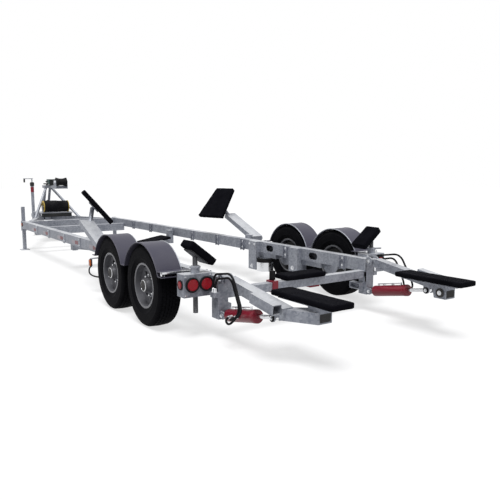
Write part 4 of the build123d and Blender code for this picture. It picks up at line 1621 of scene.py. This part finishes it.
@dataclass
class Trim:
    """Fender edges and rear ledges, jack and winch fittings, cleat ribs, and small boxes and posts."""

    yard: Yard
    axles: tuple[float, float] = (0.0, 853.0)
    axle_z: float = 391.0
    edge_r: float = 407.0
    edge_y: float = 1338.0
    ledge_in: float = 1041.0
    valley_z: float = 537.0
    cleats: tuple[float, ...] = (-419, 582, 1537, 2201, 2963, 4539, 5311)

    def fender_edges(self) -> None:
        """Roll a bead along both edges of each fender and add its rear ledge with a bright lip. The inner
        bead is finished in zinc so that it shows as a bright line along the fender's top: a painted
        highlight.
        """
        reach = math.asin((self.valley_z - self.axle_z) / self.edge_r)
        for name, side in SIDES:
            # The inner bead's zinc finish is a painted highlight, standing in for the sky's reflection along
            # the fender's top.
            edges = ((self.edge_y - 3, "outer", Slot.FENDER), (self.edge_y - 245, "inner", Slot.ZINC))
            for y, title, slot in edges:
                beads = Shape()
                for axle in self.axles:
                    path = []
                    for step in range(33):
                        angle = reach + (math.pi - 2 * reach) * step / 32
                        x = axle + self.edge_r * math.cos(angle)
                        path.append(self.yard.at(x, side * y, self.axle_z + self.edge_r * math.sin(angle)))
                    beads.tube(path, 0.0055, 8)
                self.yard.place(beads, f"{name}_fender_{title}_bead", "frame", slot)
            inner = side * self.ledge_in
            outer = side * self.edge_y
            ledge = Shape().box(self.yard.at(-464, inner, 574), self.yard.at(-352, outer, 580), 0.001)
            self.yard.place(ledge, f"{name}_fender_ledge", "frame", Slot.FENDER)
            lip = Shape().box(self.yard.at(-469, inner, 566), self.yard.at(-462, outer, 584), 0.0015)
            lip.box(self.yard.at(-469, outer - side * 6, 550), self.yard.at(-440, outer, 584), 0.0015)
            self.yard.place(lip, f"{name}_fender_lip", "frame", Slot.BRIGHT)

    def jack(self) -> None:
        """Add the black gear head, the grip and the red collar of the jack."""
        up = Vector((0, 0, 1))
        head = Shape().lathe(
            [(0.0, 0.036), (0.0, 0.046), (0.070, 0.048), (0.082, 0.043), (0.090, 0.016), (0.090, 0.0)],
            self.yard.at(9050, 110, 1185),
            up,
            32,
        )
        head.lathe(
            [(0.0, 0.0), (0.0, 0.017), (0.010, 0.0185), (0.075, 0.0185), (0.083, 0.016)],
            self.yard.at(9050, 282, 1268),
            up,
            20,
        )
        self.yard.place(head, "jack_head", "frame", Slot.BLACK)
        collar = Shape().lathe(
            [(0.0, 0.036), (0.0, 0.0385), (0.120, 0.0385), (0.120, 0.036)],
            self.yard.at(9050, 110, 1040),
            up,
            32,
        )
        self.yard.place(collar, "jack_collar", "frame", Slot.RED)

    def winch(self) -> None:
        """Add the teal covers and the crank of the winch."""
        cover = Shape()
        for side in (1, -1):
            cover.box(self.yard.at(7704, side * 56, 1234), self.yard.at(7896, side * 78, 1348), 0.008, 3)
        cover.box(self.yard.at(7760, -60, 1318), self.yard.at(7896, 60, 1347), 0.006, 3)
        self.yard.place(cover, "winch_cover", "frame", Slot.BLACK, self.yard.finishes.teal)
        crank = Shape()
        hub = self.yard.at(7840, 78, 1300)
        crank.rod(hub, hub + Vector((0, 0.03, 0)), 0.012, 16)
        end = hub + Vector((-0.16, 0.03, -0.05))
        crank.tube([hub + Vector((0, 0.03, 0)), end], 0.007, 10)
        crank.rod(end, end + Vector((0, 0.09, 0)), 0.013, 16)
        self.yard.place(crank, "winch_crank", "frame", Slot.BLACK)

    def cleat_ribs(self) -> None:
        """Fold two upright ribs on each cleat of the rails' inner faces, in the darker zinc copy as painted
        shade.
        """
        for name, side in SIDES:
            ribs = Shape()
            for x in self.cleats:
                for offset in (-40, 28):
                    low = self.yard.at(x + offset, side * 834, 402)
                    ribs.box(low, self.yard.at(x + offset + 12, side * 848.5, 556), 0.002)
                low = self.yard.at(x - 30, side * 846, 470)
                ribs.box(low, self.yard.at(x + 30, side * 848.5, 500), 0.001)
            # The darker zinc here is painted shade.
            self.yard.place(ribs, f"{name}_cleat_ribs", "frame", Slot.ZINC, self.yard.finishes.weld_and_shade_zinc)

    def tray_shade_box(self) -> None:
        """Hang a black box under the reel's tray, as painted shade where the tray's underside lies dark."""
        # Painted shade: a black box standing in for the shadow under the tray.
        box = Shape().box(self.yard.at(7432, -300, 548), self.yard.at(7560, 300, 626), 0.006, 2)
        self.yard.place(box, "tray_shade_box", "frame", Slot.BLACK)

    def clamp_post(self) -> None:
        """Add the black upright on the keel clamp."""
        post = Shape().box(self.yard.at(-735, 308, 449), self.yard.at(-689, 348, 540), 0.004, 2)
        self.yard.place(post, "clamp_post", "frame", Slot.RUBBER)

    def build(self) -> None:
        """Make all the trim."""
        self.fender_edges()
        self.jack()
        self.winch()
        self.cleat_ribs()
        self.tray_shade_box()
        self.clamp_post()


@dataclass
class Studio:
    """White floor and sky, one soft lamp, and the camera of the photo."""

    yard: Yard
    eye: Triple = (-4783.25, 3395.33, 1406.7)
    yaw: float = -0.60489
    pitch: float = -0.13161
    focal: float = 555.228
    pixels: float = 500.0
    sensor: float = 36.0
    sky: float = 0.24
    lamp_power: float = 2.5
    lamp_angle: float = 0.5
    lamp_way: Triple = (0.32, -0.24, -1.0)
    floor_colour: Triple = (0.40, 0.40, 0.405)
    floor_glow: float = 0.65

    def camera(self) -> None:
        """Make the camera that was fitted to the photo."""
        data = bpy.data.cameras.new("photo_camera")
        data.sensor_width = self.sensor
        data.lens = self.focal / self.pixels * self.sensor
        data.clip_end = 200.0
        made = bpy.data.objects.new("photo_camera", data)
        made.location = self.yard.at(*self.eye)
        made.rotation_euler = (math.pi / 2 + self.pitch, 0.0, self.yaw - math.pi / 2)
        bpy.context.scene.collection.objects.link(made)
        bpy.context.scene.camera = made

    def lamp(self) -> None:
        """Hang one broad, even lamp high above the rear end."""
        data = bpy.data.lights.new("overhead", "SUN")
        data.energy = self.lamp_power
        data.angle = self.lamp_angle
        made = bpy.data.objects.new("overhead", data)
        made.rotation_euler = Vector(self.lamp_way).to_track_quat("-Z", "Y").to_euler()
        bpy.context.scene.collection.objects.link(made)

    def direct(self, graph: Graph) -> Term:
        """Tell rays of the camera, of reflections and through glass from other light.

        Args:
            graph: Tree to add the node to.

        Returns:
            1 for rays that show the background, else 0.
        """
        kinds = ("Camera", "Glossy", "Transmission")
        seen = [graph.node("ShaderNodeLightPath", {}, {}, f"Is {kind} Ray") for kind in kinds]
        total = seen[0] + seen[1] + seen[2]
        return graph.node("ShaderNodeMath", {"operation": "MINIMUM"}, {0: total, 1: 1.0})

    def floor(self) -> None:
        """Lay the floor, which shows white and keeps the shadow."""
        shape = Shape()
        for x, y in ((-60, -60), (60, -60), (60, 60), (-60, 60)):
            shape.mesh.verts.new((x, y, -0.001))
        shape.mesh.faces.new(list(shape.mesh.verts))
        shader = Shader("studio_floor")
        grain = shader.cloud(0.4, 2.0)
        colour = shader.blend(grain, self.floor_colour, tuple(1.04 * part for part in self.floor_colour))
        shown = self.direct(shader)
        glow = shader.blend(shown, (0.0, 0.0, 0.0), (1.0, 1.0, 1.0))
        shown_white = {"Emission_Color": glow, "Emission_Strength": self.floor_glow}
        shader.finish(colour, 0.95, Specular_IOR_Level=0.0, **shown_white)
        shape.piece("studio_floor", shader.material)

    def world(self) -> None:
        """Light everything softly from an even sky that shows as white."""
        world = bpy.data.worlds.new("studio_sky")
        bpy.context.scene.world = world
        world.use_nodes = True
        graph = Graph(world.node_tree)
        sky = graph.tree.nodes["Background"]
        sky.inputs["Color"].default_value = (1.0, 1.0, 1.0, 1.0)
        strength = self.sky + (1.0 - self.sky) * self.direct(graph)
        graph.tree.links.new(strength.socket, sky.inputs["Strength"])

    def build(self) -> None:
        """Make the whole studio."""
        self.camera()
        self.floor()
        self.world()
        self.lamp()
        scene = bpy.context.scene
        scene.view_settings.view_transform = "Standard"


def main() -> None:
    """Build every sub-assembly in order."""
    logging.basicConfig(level=logging.INFO, format="%(message)s")
    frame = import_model()
    bpy.context.view_layer.update()
    yard = Yard(frame)
    Studio(yard).build()
    CadDress(yard).build()
    Hoses(yard).build()
    for name, side in SIDES:
        for end in ENDS:
            RoadWheel(yard, f"{name}_{end}_wheel", side).build()
        for pad in ("front_pad", "rear_pad", "tail_pad"):
            CarpetPad(yard, f"{name}_{pad}").build()
    CarpetPad(yard, "keel_pads", 0.010, 5).build()
    Lamps(yard).build()
    Fasteners(yard).build()
    Stripes(yard).build()
    PowerUnit(yard).build()
    Cylinders(yard).build()
    Undercarriage(yard).build()
    Welds(yard).build()
    Trim(yard).build()
    bpy.context.view_layer.update()


if __name__ == "__main__":
    main()
